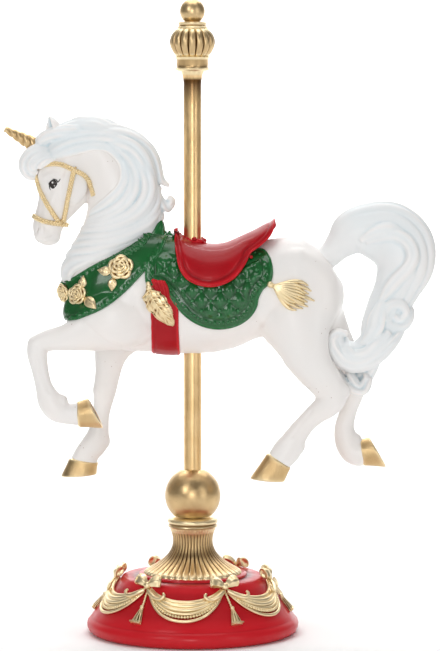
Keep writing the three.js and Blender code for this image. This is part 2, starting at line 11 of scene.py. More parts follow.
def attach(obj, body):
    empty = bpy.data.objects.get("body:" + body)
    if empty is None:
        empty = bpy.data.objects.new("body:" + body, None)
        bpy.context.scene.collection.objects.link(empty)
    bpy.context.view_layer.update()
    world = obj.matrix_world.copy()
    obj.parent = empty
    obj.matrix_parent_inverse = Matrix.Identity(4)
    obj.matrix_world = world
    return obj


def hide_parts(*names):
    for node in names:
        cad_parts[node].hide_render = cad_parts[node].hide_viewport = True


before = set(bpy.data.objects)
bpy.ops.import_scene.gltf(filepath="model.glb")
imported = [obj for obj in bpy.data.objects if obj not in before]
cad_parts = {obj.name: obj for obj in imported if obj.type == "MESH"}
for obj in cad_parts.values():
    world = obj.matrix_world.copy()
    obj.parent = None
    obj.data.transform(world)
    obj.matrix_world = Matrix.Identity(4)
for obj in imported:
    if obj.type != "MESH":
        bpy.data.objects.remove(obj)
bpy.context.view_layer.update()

bl_info = {
    "name": "Carousel Unicorn Figurine",
    "version": (1, 0, 0),
    "blender": (4, 5, 0),
    "location": "3D Viewport > Sidebar > Carousel",
    "description": "Models and paints a carousel unicorn on its pole and round base",
    "category": "Add Mesh",
}

MM = 0.001
SIDES = (-1, 1)  # the near side and the far side

# The stand, in mm
BASE_HEIGHT = 30.0
BASE_TOP_RADIUS = 36.8
RIM_HEIGHT = 8.5
RIM_RADIUS = 53.8
FIRST_BOW_ANGLE = -35.2  # degrees from the front
BALL_RADIUS = 14.5
BALL_FLAT_RADIUS = 9.7  # where the ball is cut flat and stands on the pedestal
POLE_RADIUS = 4.6
FINIAL_FOOT = 293.0

# The horse is described in shares, each a hundredth of its length, from its belly beside the pole.
SHARE = 2.29  # in mm
BELLY_HEIGHT = 145.0  # in mm above the floor

# Its forms. A station is (x, y, z, half depth, half width).
TORSO = [
    (-29, 0, 14.4, 2.8, 2.6), (-27.2, 0, 14.2, 5.7, 4.8), (-23, 0, 13.5, 10.1, 6.8),
    (-17, 0, 14, 12.8, 8.3), (-9.7, 0, 14.7, 13.8, 9), (-2.9, 0, 13.5, 13.1, 10),
    (5.2, 0, 12.6, 11.7, 10.5), (12, 0, 14.2, 10.5, 9.8), (17.8, 0, 15.3, 11.2, 9.4),
    (22, 0, 15.3, 11.9, 9.3), (26.5, 0, 15.1, 10.8, 8.5), (30.4, 0, 15.6, 7.8, 7),
    (32.7, 0, 16.3, 5, 4.8), (33.6, 0, 16.7, 2.3, 2.2),
]
NECK = [
    (-18.5, 0, 15.8, 11.5, 6.6), (-18.9, 0, 22, 9.6, 6.1), (-18, 0, 28.4, 7.1, 5.5),
    (-17.3, 0, 34.6, 6.4, 4.8), (-18.2, 0, 40.6, 6.4, 4.4), (-21.7, 0, 45.6, 5.7, 4.1),
    (-25.8, 0, 48.4, 4.6, 3.7), (-28.5, 0, 49, 3.2, 3.1),
]
MANE = [
    (-27.6, 0, 50.5, 1.9, 2.4), (-22.8, 0, 51.2, 2.6, 3.1), (-17.3, 0, 48.9, 2.9, 3.8),
    (-13, 0, 44.6, 4, 4.3), (-11.3, 0, 39, 3.8, 4.4), (-10.9, 0, 33.5, 3.2, 4.4),
    (-10.6, 0, 29.3, 2.4, 4.4), (-10.6, 0, 25.7, 1.4, 3.8),
]
HEAD = [
    (-24.4, 0, 49, 1.8, 2.6), (-26.5, 0, 46.8, 5, 3.9), (-28.3, 0, 42.6, 6.6, 4.4),
    (-29.1, 0, 38.5, 6.5, 4.1), (-30.4, 0, 35.1, 4.9, 3.4), (-31.9, 0, 32.1, 3.8, 2.7),
    (-32.8, 0, 29.5, 3.5, 2.7), (-33, 0, 27.8, 3, 2.6), (-32.9, 0, 26.2, 1.4, 1.5),
]
NEAR_ARM = [
    (-12, -4.4, 11.6, 7.7, 3.5), (-16.5, -5.7, 9.2, 7.5, 4.1), (-22.2, -6.1, 6.8, 5.5, 3.7),
    (-27.8, -6.3, 4.9, 3.3, 2.8), (-32.4, -6.3, 4.1, 2.5, 2.4), (-34.9, -6.3, 3.2, 2.2, 2.3),
]
NEAR_FORE_SHANK = [
    (-34.8, -6.3, 4.3, 2, 2.2), (-35, -6.3, 1.6, 2.4, 2.3), (-34.4, -6.3, -2.3, 2, 1.8),
    (-33.5, -6.3, -6.2, 2, 1.7), (-32.3, -6.3, -9.3, 2.8, 2.1), (-30.6, -6.3, -11.6, 2.8, 2.2),
    (-28.3, -6.3, -12.5, 2.4, 2), (-25.2, -6.3, -12.5, 2.8, 2.3),
]
FAR_FORE = [
    (-14.4, 5.2, 7.7, 7.9, 3.5), (-17.2, 5.7, 3.8, 5.8, 3.5), (-18.8, 5.9, -0.2, 3.9, 2.8),
    (-19.5, 5.9, -4.3, 3, 2.4), (-20.2, 5.9, -8.5, 2.7, 2.1), (-21, 5.9, -13.6, 2, 1.7),
    (-21.6, 5.9, -17.7, 2.4, 1.9), (-22.4, 5.9, -20.5, 3, 2.2), (-24.2, 5.9, -22.8, 2.8, 2.1),
    (-25.1, 5.9, -25, 3.2, 2.4),
]
NEAR_HIND = [
    (22.2, -3.5, 16.1, 9.6, 5.2), (23.5, -5.2, 8.7, 8.2, 4.8), (24.9, -5.9, 3.3, 6.4, 4),
    (26.9, -6.1, -1.2, 4.9, 3.3), (29.9, -6.1, -5.3, 4, 2.8), (31.5, -6.1, -8, 3.6, 2.6),
    (30.6, -6.1, -10.3, 3.1, 2.4), (27.6, -6.1, -12.8, 2.4, 2), (24.9, -6.1, -15.5, 2.3, 1.8),
    (22.8, -6.1, -18.5, 2.7, 2.1), (21.5, -6.1, -20.7, 3.2, 2.3), (19.2, -6.1, -23.5, 2.8, 2.3),
]
FAR_HIND = [
    (24.8, 3.5, 14.4, 9.2, 5.2), (29, 5.2, 6.1, 6.9, 4.4), (33.2, 5.7, -1.5, 5.1, 3.5),
    (36.4, 5.9, -7.6, 3.2, 2.6), (36.6, 5.9, -9.9, 2.4, 2.3), (35.7, 5.9, -13.1, 2, 1.9),
    (34.8, 5.9, -16.8, 2.3, 1.8), (35.3, 5.9, -20.1, 2.8, 2.2), (36.9, 5.9, -22.6, 3, 2.3),
    (39.3, 5.9, -23.1, 3, 2.4),
]
TAIL = [
    (27.6, 0, 20, 2.6, 2.8), (31.5, 0, 23.4, 2.9, 2.8), (33.4, 0, 25.4, 3.6, 2.9),
    (36.1, 0, 27, 5.1, 3.5), (39.8, 0, 27.7, 6.2, 3.8), (44.2, 0, 27.1, 7.2, 4),
    (47.2, -0.4, 24, 7.5, 4), (48, -0.9, 19.8, 6.8, 3.8), (46.3, -1.3, 15.5, 5.3, 3.6),
    (44.2, -1.7, 11.1, 4.8, 3.4), (42.6, -2.2, 6.6, 4.6, 3.2), (40.8, -2.6, 3, 3.6, 3.1),
    (37.5, -3.1, 0.8, 3, 2.9), (34.6, -3.5, 1, 3, 2.6), (32.9, -3.9, 2.9, 2, 2.2),
    (33.2, -3.9, 5, 1.2, 1.8), (35, -3.5, 5.6, 0.6, 1.2),
]
TAIL_TIP = [
    (41.1, -0.9, 0.5, 2.1, 2.2), (39.8, 0, -2.8, 2.3, 2.4), (38, 0.9, -5.4, 2.5, 2.2),
    (36.2, 1.7, -7.3, 1.1, 1.3),
]
CREST = [
    (-35, 0, 48, 1.4, 2), (-33.2, 0, 49.6, 1.6, 2.4), (-30.4, 0, 50.7, 1.7, 3), (-27, 0, 51.9, 1.9, 3.2),
    (-23.2, 0, 52.7, 1.9, 3.3), (-19.4, 0, 52.1, 1.9, 3.2), (-16.2, 0, 50.4, 1.7, 3.1),
    (-13, 0, 48.8, 1.9, 3),
    (-10.2, 0, 46.6, 1.9, 2.9), (-8.5, 0, 43.4, 1.7, 2.5), (-7.5, 0, 40.4, 1.1, 1.8),
    (-5.6, 0, 38.6, 0.4, 0.8),
]
LOW_CREST = [
    (-9.6, 0, 40, 1.4, 3), (-8.7, 0, 36, 1.6, 3.4), (-8.5, 0, 32.5, 1.6, 3.4), (-9, 0, 29.5, 1.2, 3),
    (-10, 0, 27, 0.6, 2),
]
# The lock that crosses the foot of the far ear
EAR_LOCK = [
    (-34.4, 1.8, 48.6, 1, 0.8), (-32.6, 2.9, 50, 1.5, 1.1), (-29.8, 3.3, 50.8, 1.6, 1.2),
    (-26.6, 3.2, 51.2, 1.4, 1.1), (-23.6, 3, 51, 0.6, 0.5),
]
# Muscles and bones, as a centre, radii and a turn about Y. The first ones are on both sides.
MUSCLES = [((x, side * y, z), radii, turn) for (x, y, z), radii, turn in (
    ((-25.6, 3.1, 10.2), (3.3, 3.2, 4.4), 0), ((-14.5, 6.3, 13.5), (4.6, 2.6, 7.2), 20),
    ((23.5, 5.4, 16.5), (7.5, 3.6, 8.5), -8), ((-27.6, 3.2, 38.6), (4.1, 1.6, 4.3), 10),
    ((-31.4, 2.9, 39.6), (1.7, 1.2, 1.5), 0), ((-33.9, 1.4, 27.8), (2.1, 1.7, 2.3), 0),
) for side in SIDES] + [
    ((-35.3, -6.3, 3), (2, 2.4, 2.3), 0), ((34, -6.1, -7.4), (1.7, 1.7, 1.9), 0),
    ((23.9, -6.1, -19.9), (1.6, 1.6, 1.9), 0), ((-29.4, -6.3, -9.6), (1.4, 1.5, 1.6), 0),
    ((-20.6, 5.9, -20), (1.7, 1.6, 2.2), 0), ((-20.5, 5.9, -8.4), (2.6, 2.3, 2.2), 0),
    ((38, 5.9, -7), (1.6, 1.6, 1.7), 0), ((37.4, 5.9, -20), (1.5, 1.6, 1.8), 0),
    ((-32.6, 0, 27.3), (2.9, 2.4, 2.3), 0), ((28.3, -4.2, 14), (5.2, 4.4, 9.5), 0),
    ((28.3, 4.2, 14), (5.2, 4.4, 9.5), 0), ((30.2, 2.6, 8), (3.4, 4, 8), 12),
    ((20.4, -5, 6.5), (4.2, 3, 5.5), 35), ((26.3, 0, 19.2), (5.6, 5.4, 6.6), 0),
]
# Where its skin is smoothed, as a middle (x, z), a reach and a number of passes
SOFT_PLACES = [
    ((30.5, 12), (8, 16), 110), ((29, 21.5), (5.5, 5.5), 150), ((-24, 43.5), (4, 5), 40),
    ((18.5, 3), (5.5, 5), 60), ((-26, 12), (5, 8), 30),
]
# Creases and ridges of its skin, as a path (x, z), a radius and a height in mm, and the sides that have it
FOLDS = [
    # The flank, elbow, breast, shank and hind pastern
    ([(14, 9), (16.2, 5.6), (17.4, 2.6)], 3.0, -0.45, SIDES),
    ([(-9.6, 12), (-9.8, 7), (-12.5, 3.2)], 2.8, -0.5, (-1,)),
    ([(-24.5, 9), (-19, 4.2), (-14, 1.6)], 1.8, -0.5, (-1,)),
    ([(-34.6, 0), (-33.6, -4), (-32.3, -7.4)], 1.0, -0.35, (-1,)),
    ([(26.8, -11.8), (24.3, -15), (22.8, -17.4)], 1.0, -0.35, (-1,)),
    # The cheek and the bones of the face
    ([(-23.2, 39.5), (-23.9, 37), (-25.8, 35.2), (-28.3, 34.4)], 1.5, -0.3, SIDES),
    ([(-29.2, 35.2), (-29.3, 38.8), (-28.6, 42.2)], 1.2, -0.35, SIDES),
    ([(-31.2, 36.9), (-31.9, 34.6), (-32.4, 32.8)], 1.1, 0.4, SIDES),
    # The brow, the lower lid and the bridge of the nose
    ([(-33.2, 40.7), (-31.6, 41.5), (-29.9, 40.9)], 1.0, 0.5, SIDES),
    ([(-32.2, 38.7), (-31, 38.3), (-30, 38.7)], 0.8, 0.25, SIDES),
    ([(-33.4, 36.6), (-33.9, 33.9), (-34.5, 31)], 1.3, -0.3, SIDES),
    # The nostril with its rim, and the mouth
    ([(-35.2, 28.3), (-34.9, 29.1)], 0.8, -0.8, SIDES),
    ([(-34.2, 29.6), (-33.6, 28.8), (-33.9, 27.8)], 0.7, 0.3, SIDES),
    ([(-34.9, 26.3), (-33.2, 26.8), (-31.6, 27.4)], 0.5, -0.3, SIDES),
]
# A hoof: the front and the heel of its coronet, then of its sole, as (x, z), and its y.
HOOVES = {
    "near_fore_hoof": ((-25.6, -15.5), (-26, -9.8), (-20.1, -15.7), (-23.5, -9.1), -6.3),
    "far_fore_hoof": ((-28.4, -24.2), (-21.8, -25.1), (-30.3, -28.4), (-22.3, -27.9), 5.9),
    "near_hind_hoof": ((17, -21.4), (22.2, -24.8), (13, -27.3), (20.6, -28), -6.1),
    "far_hind_hoof": ((39.2, -25.8), (38.3, -19.8), (44.5, -26.1), (40.6, -19.4), 5.9),
}
# Locks that lie on the horse's sides, as (x, z, half depth)
MANE_LOCKS = [
    [(-31, 51, 0.9), (-27.9, 52.2, 1.4), (-24.4, 53, 1.5), (-21.4, 52.9, 1.5), (-18.6, 51.8, 1.4),
     (-15.6, 50.6, 0.8)],
    [(-34, 46.6, 0.7), (-33.2, 48.6, 1.3), (-31.1, 50.1, 1.5), (-28.1, 51.2, 1.5), (-24.6, 51.6, 1.5),
     (-20.9, 51.2, 1.3), (-17.9, 50.2, 0.8)],
    [(-32.7, 46.3, 0.7), (-30.4, 48, 1.4), (-27.1, 49.5, 1.6), (-23.2, 50.1, 1.6), (-19.2, 49.9, 1.5),
     (-16.3, 49, 1.1), (-13.8, 47.4, 0.6)],
    [(-32.2, 45.4, 0.6), (-29.6, 46.5, 1.1), (-26, 47.9, 1.3), (-22.2, 48.5, 1.3), (-18.6, 47.9, 1.2),
     (-15.9, 46.3, 0.6)],
    [(-23.2, 51.2, 0.7), (-19.2, 51.2, 1.5), (-15.6, 50.6, 1.8), (-12.4, 49, 2), (-9.6, 46.4, 1.8),
     (-8.1, 43, 1.6), (-7.1, 40, 1.1), (-5.2, 38.7, 0.4)],
    [(-21.2, 49.6, 0.7), (-16.9, 49, 1.5), (-13.3, 47.4, 1.7), (-10.9, 44.6, 1.7), (-9.6, 41.3, 1.5),
     (-8.6, 38.8, 1.1), (-7.1, 37.9, 0.4)],
    [(-22.4, 48.2, 0.5), (-18.4, 46.8, 1), (-15.8, 44.3, 1.2), (-15.1, 41.3, 1.2), (-15.9, 38.4, 1.2),
     (-18.4, 35.8, 1.2), (-21, 33.9, 1), (-23.2, 32.6, 0.6)],
    [(-19.6, 48.8, 0.7), (-15.8, 46.4, 1.2), (-13.2, 43.1, 1.5), (-12.8, 39.5, 1.5), (-14.2, 35.9, 1.5),
     (-17.2, 33.3, 1.4), (-20.9, 31.7, 1.2), (-23.8, 30.8, 0.8)],
    [(-16, 48, 0.7), (-12.2, 45, 1.3), (-10.4, 41.3, 1.6), (-10, 37.7, 1.7), (-11.6, 34.1, 1.7),
     (-15.2, 31.5, 1.5), (-19.4, 30, 1.4), (-22.8, 29.3, 1.2), (-24.9, 28.9, 0.8)],
    [(-8.8, 40, 0.7), (-8.4, 36.4, 1.5), (-9.9, 32.8, 1.7), (-13.5, 30, 1.6), (-18.1, 28.3, 1.5),
     (-22.4, 27.5, 1.4), (-25.8, 27.1, 0.9)],
    [(-7.8, 36.8, 0.5), (-8.2, 33.2, 1.4), (-10.7, 30.1, 1.6), (-14.7, 27.8, 1.6), (-19.3, 26.4, 1.6),
     (-23.9, 25.6, 1.4), (-27, 25.1, 0.9)],
    [(-7.8, 33.2, 0.5), (-9.3, 30, 1.2), (-12.6, 27.6, 1.4), (-16.9, 25.8, 1.5), (-21.5, 24.6, 1.5),
     (-25.7, 23.9, 1.4), (-28.2, 22.9, 0.9)],
    [(-14, 26.4, 0.7), (-18.1, 24.4, 1.3), (-22.4, 23, 1.4), (-26.2, 22.3, 1.5), (-28.5, 20.6, 1.4),
     (-28.9, 18.3, 1.1), (-28.3, 16.4, 0.5)],
    [(-20.6, 23, 0.6), (-24, 21.9, 1.1), (-26.8, 20.4, 1.2), (-27.8, 18.6, 1.1), (-27.2, 17.2, 0.5)],
    [(-7.8, 38.7, 0.5), (-7.6, 36.3, 1), (-6.6, 34.5, 1.3), (-5.2, 34.1, 1.2), (-4.7, 35.3, 1),
     (-5.5, 36.2, 0.7)],
    [(-7.5, 33.5, 0.7), (-7.1, 31.6, 1.1), (-8.2, 29.9, 1), (-9.6, 28.6, 0.5)],
]
FORELOCK = [
    [(-32, 47.8, 0.9), (-34.2, 47.4, 1.2), (-36.3, 46.5, 1.25), (-37.8, 44.9, 1.2), (-38.2, 43.2, 1.15),
     (-37.6, 41.6, 1.1), (-36.4, 40.7, 0.95), (-35.2, 40.5, 0.5)],
    [(-31.5, 46.7, 0.9), (-34, 46.2, 1.15), (-35.8, 45.2, 1.2), (-36.8, 43.8, 1.1), (-36.7, 42.5, 1),
     (-35.8, 41.8, 0.8), (-34.9, 41.9, 0.5)],
    [(-31.3, 45.6, 0.9), (-33.6, 45.1, 1.1), (-35.1, 44.2, 1.1), (-35.7, 43.1, 0.9), (-35.1, 42.6, 0.6)],
    [(-31, 44.7, 0.7), (-32.8, 44.2, 0.95), (-34.1, 43.4, 0.9), (-34.5, 42.7, 0.6)],
]
TAIL_LOCKS = [
    [(37.9, 26.5, 0.6), (41, 28.2, 1.3), (44.1, 28.9, 1.5), (47.3, 28.6, 0.4)],
    [(39.1, 26.1, 0.6), (42.9, 27.6, 1.3), (46.3, 27.6, 1.5), (48.8, 25.7, 1.5), (49.6, 23.1, 1.5),
     (48.6, 20.4, 1.5), (46.3, 18.1, 1.5), (44.1, 15.4, 1.3), (42.5, 12.7, 0.6)],
    [(49.4, 11.2, 0.8), (49.4, 8.5, 1.2), (47.1, 6.8, 1.3), (44.4, 7.4, 1.2), (43.3, 9.7, 1.1),
     (44.4, 11.8, 1.1), (46.9, 12.2, 1), (48.3, 10.3, 0.9), (47.1, 8.7, 0.8), (45.6, 9.5, 0.4)],
    [(47.9, 7, 0.8), (45.6, 4, 1.9), (42.5, 0.9, 2.1), (38.7, -1.4, 2.1), (34.9, -1.4, 1.9),
     (32.2, 1.3, 1.7), (31.4, 4, 1.5), (33, 5.7, 1.1), (34.9, 5.1, 0.5)],
    [(44.4, 5.9, 0.8), (42.1, 3.2, 1.7), (39.5, 0.9, 1.7), (36.4, 0.5, 1.5), (34.5, 2.4, 1.3),
     (34.9, 4.3, 0.6)],
    [(42.9, 12.7, 0.8), (41.8, 9.3, 1.9), (41, 6.3, 1.9), (39.1, 4, 1.1), (37.9, 3.2, 0.4)],
    [(33, -2.9, 0.6), (34.1, -5.2, 1.5), (36.4, -7.1, 1.7), (38.7, -7.5, 1.5), (39.8, -5.2, 1),
     (38.9, -3.9, 0.6)],
    [(35.3, -2.9, 0.8), (36.4, -4.8, 1.3), (37.9, -6.4, 1), (39.1, -4.4, 0.4)],
]
FLAT_LOCKS = [
    [(-33.2, 45.6, 1.2), (-30.2, 46.8, 2.2), (-26.4, 48.2, 2.6), (-22.4, 48.8, 2.4), (-17.6, 48.4, 1.6)],
    [(-34.4, 48.2, 1), (-31.8, 49.6, 2.2), (-28.2, 51, 2.8), (-24, 52, 2.6), (-19.4, 51.6, 1.6)],
]
# Lines round the eye, from its middle, in mm
LASHES = [
    [(-2.2, 1.3), (-1.2, 2.5), (0.6, 2.6)], [(-2.2, 1.3), (-2.9, 2.2), (-3.3, 3.3)],
    [(1.9, -1.2), (1.5, -2.5), (0.9, -3.4)], [(2.2, 0.2), (1.9, -0.9), (0.6, -1.7)],
]
# Outlines of what the horse wears, seen from its side, as (x, z)
SADDLE_CLOTH = [
    (-10.1, 17), (-10.3, 20.8), (-9.8, 24.5), (-8.7, 28.1), (-7.4, 32.6), (-2.5, 33), (1, 28), (4, 23),
    (9, 22), (12.7, 23.5), (14.7, 24.5), (16.3, 24.2), (17.5, 22.2), (17.9, 19.4), (17.3, 17.3),
    (15.7, 15.8), (14.7, 13.9), (14.3, 11.9), (12.9, 9.8), (10.6, 8.1), (7.6, 7.2), (4.5, 7.2),
    (1.4, 8.1), (-1.4, 9.9), (-3.5, 12.2), (-5.4, 14.8), (-7.6, 16.7),
]
GIRTH = [
    (-9.2, 16.8), (-9.2, 8), (-9.2, -0.4), (-9, -4), (-6, -4.5), (-3, -4), (-2.8, -0.9), (-3, 6),
    (-3.3, 13.1), (-5.5, 16.8),
]
COLLAR = [
    (-30.9, 16.8), (-28.2, 17.2), (-25.5, 18.8), (-22.3, 20.8), (-19.1, 22.4), (-15.5, 24.2),
    (-12.3, 26.3), (-9.6, 29.4), (-7.4, 33), (-5.5, 30), (-6.9, 24.5), (-10.3, 20.4), (-14.1, 16.3),
    (-17.3, 13.4), (-20.5, 11.3), (-24.1, 9.7), (-26.8, 8.8), (-30.9, 8.8), (-33, 12.5),
]
SADDLE_EDGE = [
    (-3.6, 29), (-3.7, 27.7), (-3.8, 26.4), (-3.6, 24.8), (-3.3, 23.1), (-3, 21.6), (-2.4, 20),
    (-1, 18.3), (1.1, 17.2), (3.6, 16.7), (6.2, 17), (8.7, 18.1), (10.6, 19.9), (12, 22), (13, 24),
    (15, 25.5), (16.9, 27.2), (17.9, 28.7), (18.4, 30.6),
]
SADDLE_TOP = [
    (-3.5, 28.9), (-3.1, 28.1), (-2.2, 27.2), (-0.6, 26.2), (2, 25.4), (5, 25.1), (7.8, 25.5),
    (10.9, 26.9), (14.2, 28.5), (16.8, 30), (18.5, 31.1),
]
BRIDLE = {
    "browband": [(-34.8, 42.8), (-32.5, 43.6), (-29.5, 43.6), (-26.6, 42.3)],
    "throatlatch": [(-26.6, 42.3), (-24.3, 41), (-22.9, 38.9), (-22.2, 36.6)],
    "cheekpiece": [(-26.7, 42.1), (-27.5, 38.2), (-28.4, 34.3), (-29.3, 30.5)],
    "face_strap": [(-35.2, 41), (-34.3, 37.8), (-32.5, 34.3), (-30.4, 30.9)],
    "noseband": [(-35.8, 31.8), (-33.6, 30.8), (-31.1, 30.3), (-28.4, 29.9)],
}
# A rose is (x, z, radius), a leaf (x, z, half length, slope in degrees).
ROSES = [(-15.9, 20.6, 2.75), (-25.8, 14.4, 2.25), (-29.0, 14.6, 2.1)]
LEAVES = [(-19.6, 19.8, 1.6, 175), (-17.9, 16.9, 1.5, -95), (-24.6, 17.2, 1.5, 80), (-22.8, 12.7, 1.8, -40)]


# Numbers and coordinates
def between(before, a, b, after, share):
    """Points between a and b on a smooth curve that leans on the points before and after them."""
    f = share[:, None]
    return a + 0.5 * f * (b - before + f * (2 * before - 5 * a + 4 * b - after + f *
                                            (3 * (a - b) + after - before)))


def curve_through(points, t):
    """Points of a smooth curve through even stations, at t from 0 to 1, or t of them in even steps."""
    points = np.asarray(points, float)
    if isinstance(t, int):
        t = np.linspace(0, 1, t)
    at = np.clip(t, 0, 1) * (len(points) - 1)
    i = np.minimum(at.astype(int), len(points) - 2)
    return between(*(points[np.clip(i + k, 0, len(points) - 1)] for k in (-1, 0, 1, 2)), at - i)


def closed_curve(points, count=160):
    """Points of a smooth closed curve through some points."""
    points = np.asarray(points, float)
    at = np.linspace(0, len(points), count, endpoint=False)
    i = at.astype(int)
    return between(*(points[(i + k) % len(points)] for k in (-1, 0, 1, 2)), at - i)


def posed(stations):
    """Stations in shares as stations in mm."""
    stations = np.asarray(stations, float) * SHARE
    stations[:, 2] += BELLY_HEIGHT
    return stations


def posed_flat(path):
    """A path of (x, z) or (x, z, half depth) in shares, in mm."""
    path = np.asarray(path, float) * SHARE
    path[:, 1] += BELLY_HEIGHT
    return path


def posed_height(z):
    return BELLY_HEIGHT + z * SHARE


def unit(vectors):
    return vectors / np.maximum(np.linalg.norm(vectors, axis=-1, keepdims=True), 1e-9)


def hump(value, middle, width):
    """1 in the middle, fading to 0 on both sides."""
    return np.exp(-(((value - middle) / width) ** 2))


def grooves(turn):
    """How deep rounded ribs part, for a turn that grows by 1 from rib to rib: 0 on a rib, 1 between two."""
    across = 2 * np.abs(turn - np.rint(turn))
    return 1 - np.sqrt(np.maximum(1 - across**2, 0))


def even(points, step, closed=False):
    """Points a step apart along a polyline."""
    points = np.asarray(points, float)
    if closed:
        points = np.vstack([points, points[:1]])
    length = np.concatenate([[0], np.cumsum(np.linalg.norm(np.diff(points[:, :3], axis=0), axis=1))])
    count = max(int(round(length[-1] / step)), 2)
    at = np.linspace(0, length[-1], count + 1)
    if closed:
        at = at[:-1]
    return np.stack([np.interp(at, length, points[:, k]) for k in range(points.shape[1])], 1)


def along_lines(line, spots):
    """For each segment of a polyline, the nearest point on it to each spot."""
    for a, b in zip(line[:-1], line[1:]):
        share = np.clip(((spots - a) @ (b - a)) / max(((b - a) ** 2).sum(), 1e-9), 0, 1)
        yield a + share[:, None] * (b - a)


# Objects and meshes
def deselect():
    if bpy.context.object and bpy.context.object.mode != "OBJECT":
        bpy.ops.object.mode_set(mode="OBJECT")
    bpy.ops.object.select_all(action="DESELECT")


def pick(*pieces):
    deselect()
    for piece in pieces:
        piece.select_set(True)
    bpy.context.view_layer.objects.active = pieces[0]


def edit_all(piece):
    """Opens a piece in edit mode with everything selected."""
    pick(piece)
    bpy.ops.object.mode_set(mode="EDIT")
    bpy.ops.mesh.select_all(action="SELECT")


def face_outwards(piece, merge=0.0):
    """Merges a piece's doubles, if a distance in mm is given, and turns its faces outwards."""
    edit_all(piece)
    if merge:
        bpy.ops.mesh.remove_doubles(threshold=MM * merge)
    bpy.ops.mesh.normals_make_consistent(inside=False)
    bpy.ops.object.mode_set(mode="OBJECT")
    return piece


def coordinates(piece):
    """A piece's vertices, in mm."""
    places = np.empty(len(piece.data.vertices) * 3)
    piece.data.vertices.foreach_get("co", places)
    return places.reshape(-1, 3) / MM


def move_to(piece, places):
    piece.data.vertices.foreach_set("co", (np.asarray(places) * MM).ravel())
    piece.data.update()


def normals(piece):
    values = np.empty(len(piece.data.vertices) * 3, np.float32)
    piece.data.vertices.foreach_get("normal", values)
    return values.reshape(-1, 3).astype(float)


def edges_of(piece):
    edges = np.empty(len(piece.data.edges) * 2, int)
    piece.data.edges.foreach_get("vertices", edges)
    return edges.reshape(-1, 2)


def apply_all(piece):
    pick(piece)
    for modifier in list(piece.modifiers):
        bpy.ops.object.modifier_apply(modifier=modifier.name)


def thin_out(piece, ratio):
    """Leaves this share of a piece's faces."""
    fewer = piece.modifiers.new("Fewer faces", "DECIMATE")
    fewer.ratio = ratio
    apply_all(piece)


def thicken(piece, wall):
    """Gives an open skin a wall in mm, inwards."""
    solid = piece.modifiers.new("Wall", "SOLIDIFY")
    solid.thickness = wall * MM
    solid.offset = -1
    apply_all(piece)


def join(name, pieces):
    pick(*pieces)
    if len(pieces) > 1:
        bpy.ops.object.join()
    piece = bpy.context.object
    piece.name = name
    bpy.ops.object.transform_apply(location=True, rotation=True, scale=True)
    return piece


def from_faces(name, places, faces):
    """A piece from places in mm and faces."""
    mesh = bpy.data.meshes.new(name)
    mesh.from_pydata((np.asarray(places) * MM).tolist(), [], [list(face) for face in faces])
    piece = bpy.data.objects.new(name, mesh)
    bpy.context.collection.objects.link(piece)
    return piece


def copy_of(piece, name):
    twin = piece.copy()
    twin.data = piece.data.copy()
    twin.name = name
    bpy.context.collection.objects.link(twin)
    return twin


def melt(piece, voxel, softening):
    """Fuses overlapping closed shapes into one skin and softens their joins."""
    remesh = piece.modifiers.new("Fuse", "REMESH")
    remesh.mode = "VOXEL"
    remesh.voxel_size = voxel * MM
    smooth = piece.modifiers.new("Soften", "SMOOTH")
    smooth.factor = 0.5
    smooth.iterations = softening
    apply_all(piece)


def limb(stations, around, along, across=(0, 1, 0), carve=None, cap=0.5):
    """An oval form through stations in mm.

    The half width is measured along the direction or directions across, the half depth square to them.
    carve(angle, t) scales the oval, and a cap is as long as this share of the end's half depth or width."""
    deselect()
    bpy.ops.mesh.primitive_uv_sphere_add(segments=around, ring_count=along + 2, radius=1)
    piece = bpy.context.object
    stations = np.asarray(stations, float)
    ball = coordinates(piece) * MM
    ring = np.rint(np.arccos(np.clip(ball[:, 2], -1, 1)) / math.pi * (along + 2))
    angle = np.arctan2(ball[:, 1], ball[:, 0])
    t = np.clip((ring - 1) / along, 0, 1)
    place = curve_through(stations, t)
    near, far = (curve_through(stations, np.clip(t + step, 0, 1))[:, :3] for step in (-0.01, 0.01))
    ahead = unit(far - near)
    width = curve_through(np.atleast_2d(across), t)
    width = unit(width - (width * ahead).sum(1, keepdims=True) * ahead)
    depth = np.cross(ahead, width)
    ends = np.where(ring == along + 2, 1.0, 0.0) - np.where(ring == 0, 1.0, 0.0)
    share = 1 - np.abs(ends)
    if carve is not None:
        share = share * carve(angle, t)
    move_to(piece, (
        place[:, :3]
        + depth * (np.cos(angle) * share * place[:, 3])[:, None]
        + width * (np.sin(angle) * share * place[:, 4])[:, None]
        + ahead * (ends * cap * np.minimum(place[:, 3], place[:, 4]))[:, None]
    ))
    return piece


def lump(centre, radii, turn=0):
    """An ellipsoid in mm, turned about Y by degrees."""
    deselect()
    bpy.ops.mesh.primitive_ico_sphere_add(
        subdivisions=3, radius=MM, location=[value * MM for value in centre],
        rotation=(0, math.radians(turn), 0), scale=radii)
    bpy.ops.object.transform_apply(location=True, rotation=True, scale=True)
    return bpy.context.object


def tubes(name, paths, fineness=1, closed=False):
    """Round tubes along paths of (x, y, z, radius) in mm."""
    deselect()
    curve = bpy.data.curves.new(name, "CURVE")
    curve.dimensions = "3D"
    curve.bevel_depth = MM
    curve.bevel_resolution = fineness
    curve.use_fill_caps = not closed
    for path in paths:
        path = np.asarray(path, float)
        spline = curve.splines.new("POLY")
        spline.points.add(len(path) - 1)
        spline.points.foreach_set("co", np.column_stack([path[:, :3] * MM, np.ones(len(path))]).ravel())
        spline.points.foreach_set("radius", path[:, 3])
        spline.use_cyclic_u = closed
    piece = bpy.data.objects.new(name, curve)
    bpy.context.collection.objects.link(piece)
    pick(piece)
    bpy.ops.object.convert(target="MESH")
    return bpy.context.object if closed else face_outwards(bpy.context.object, 0.005)


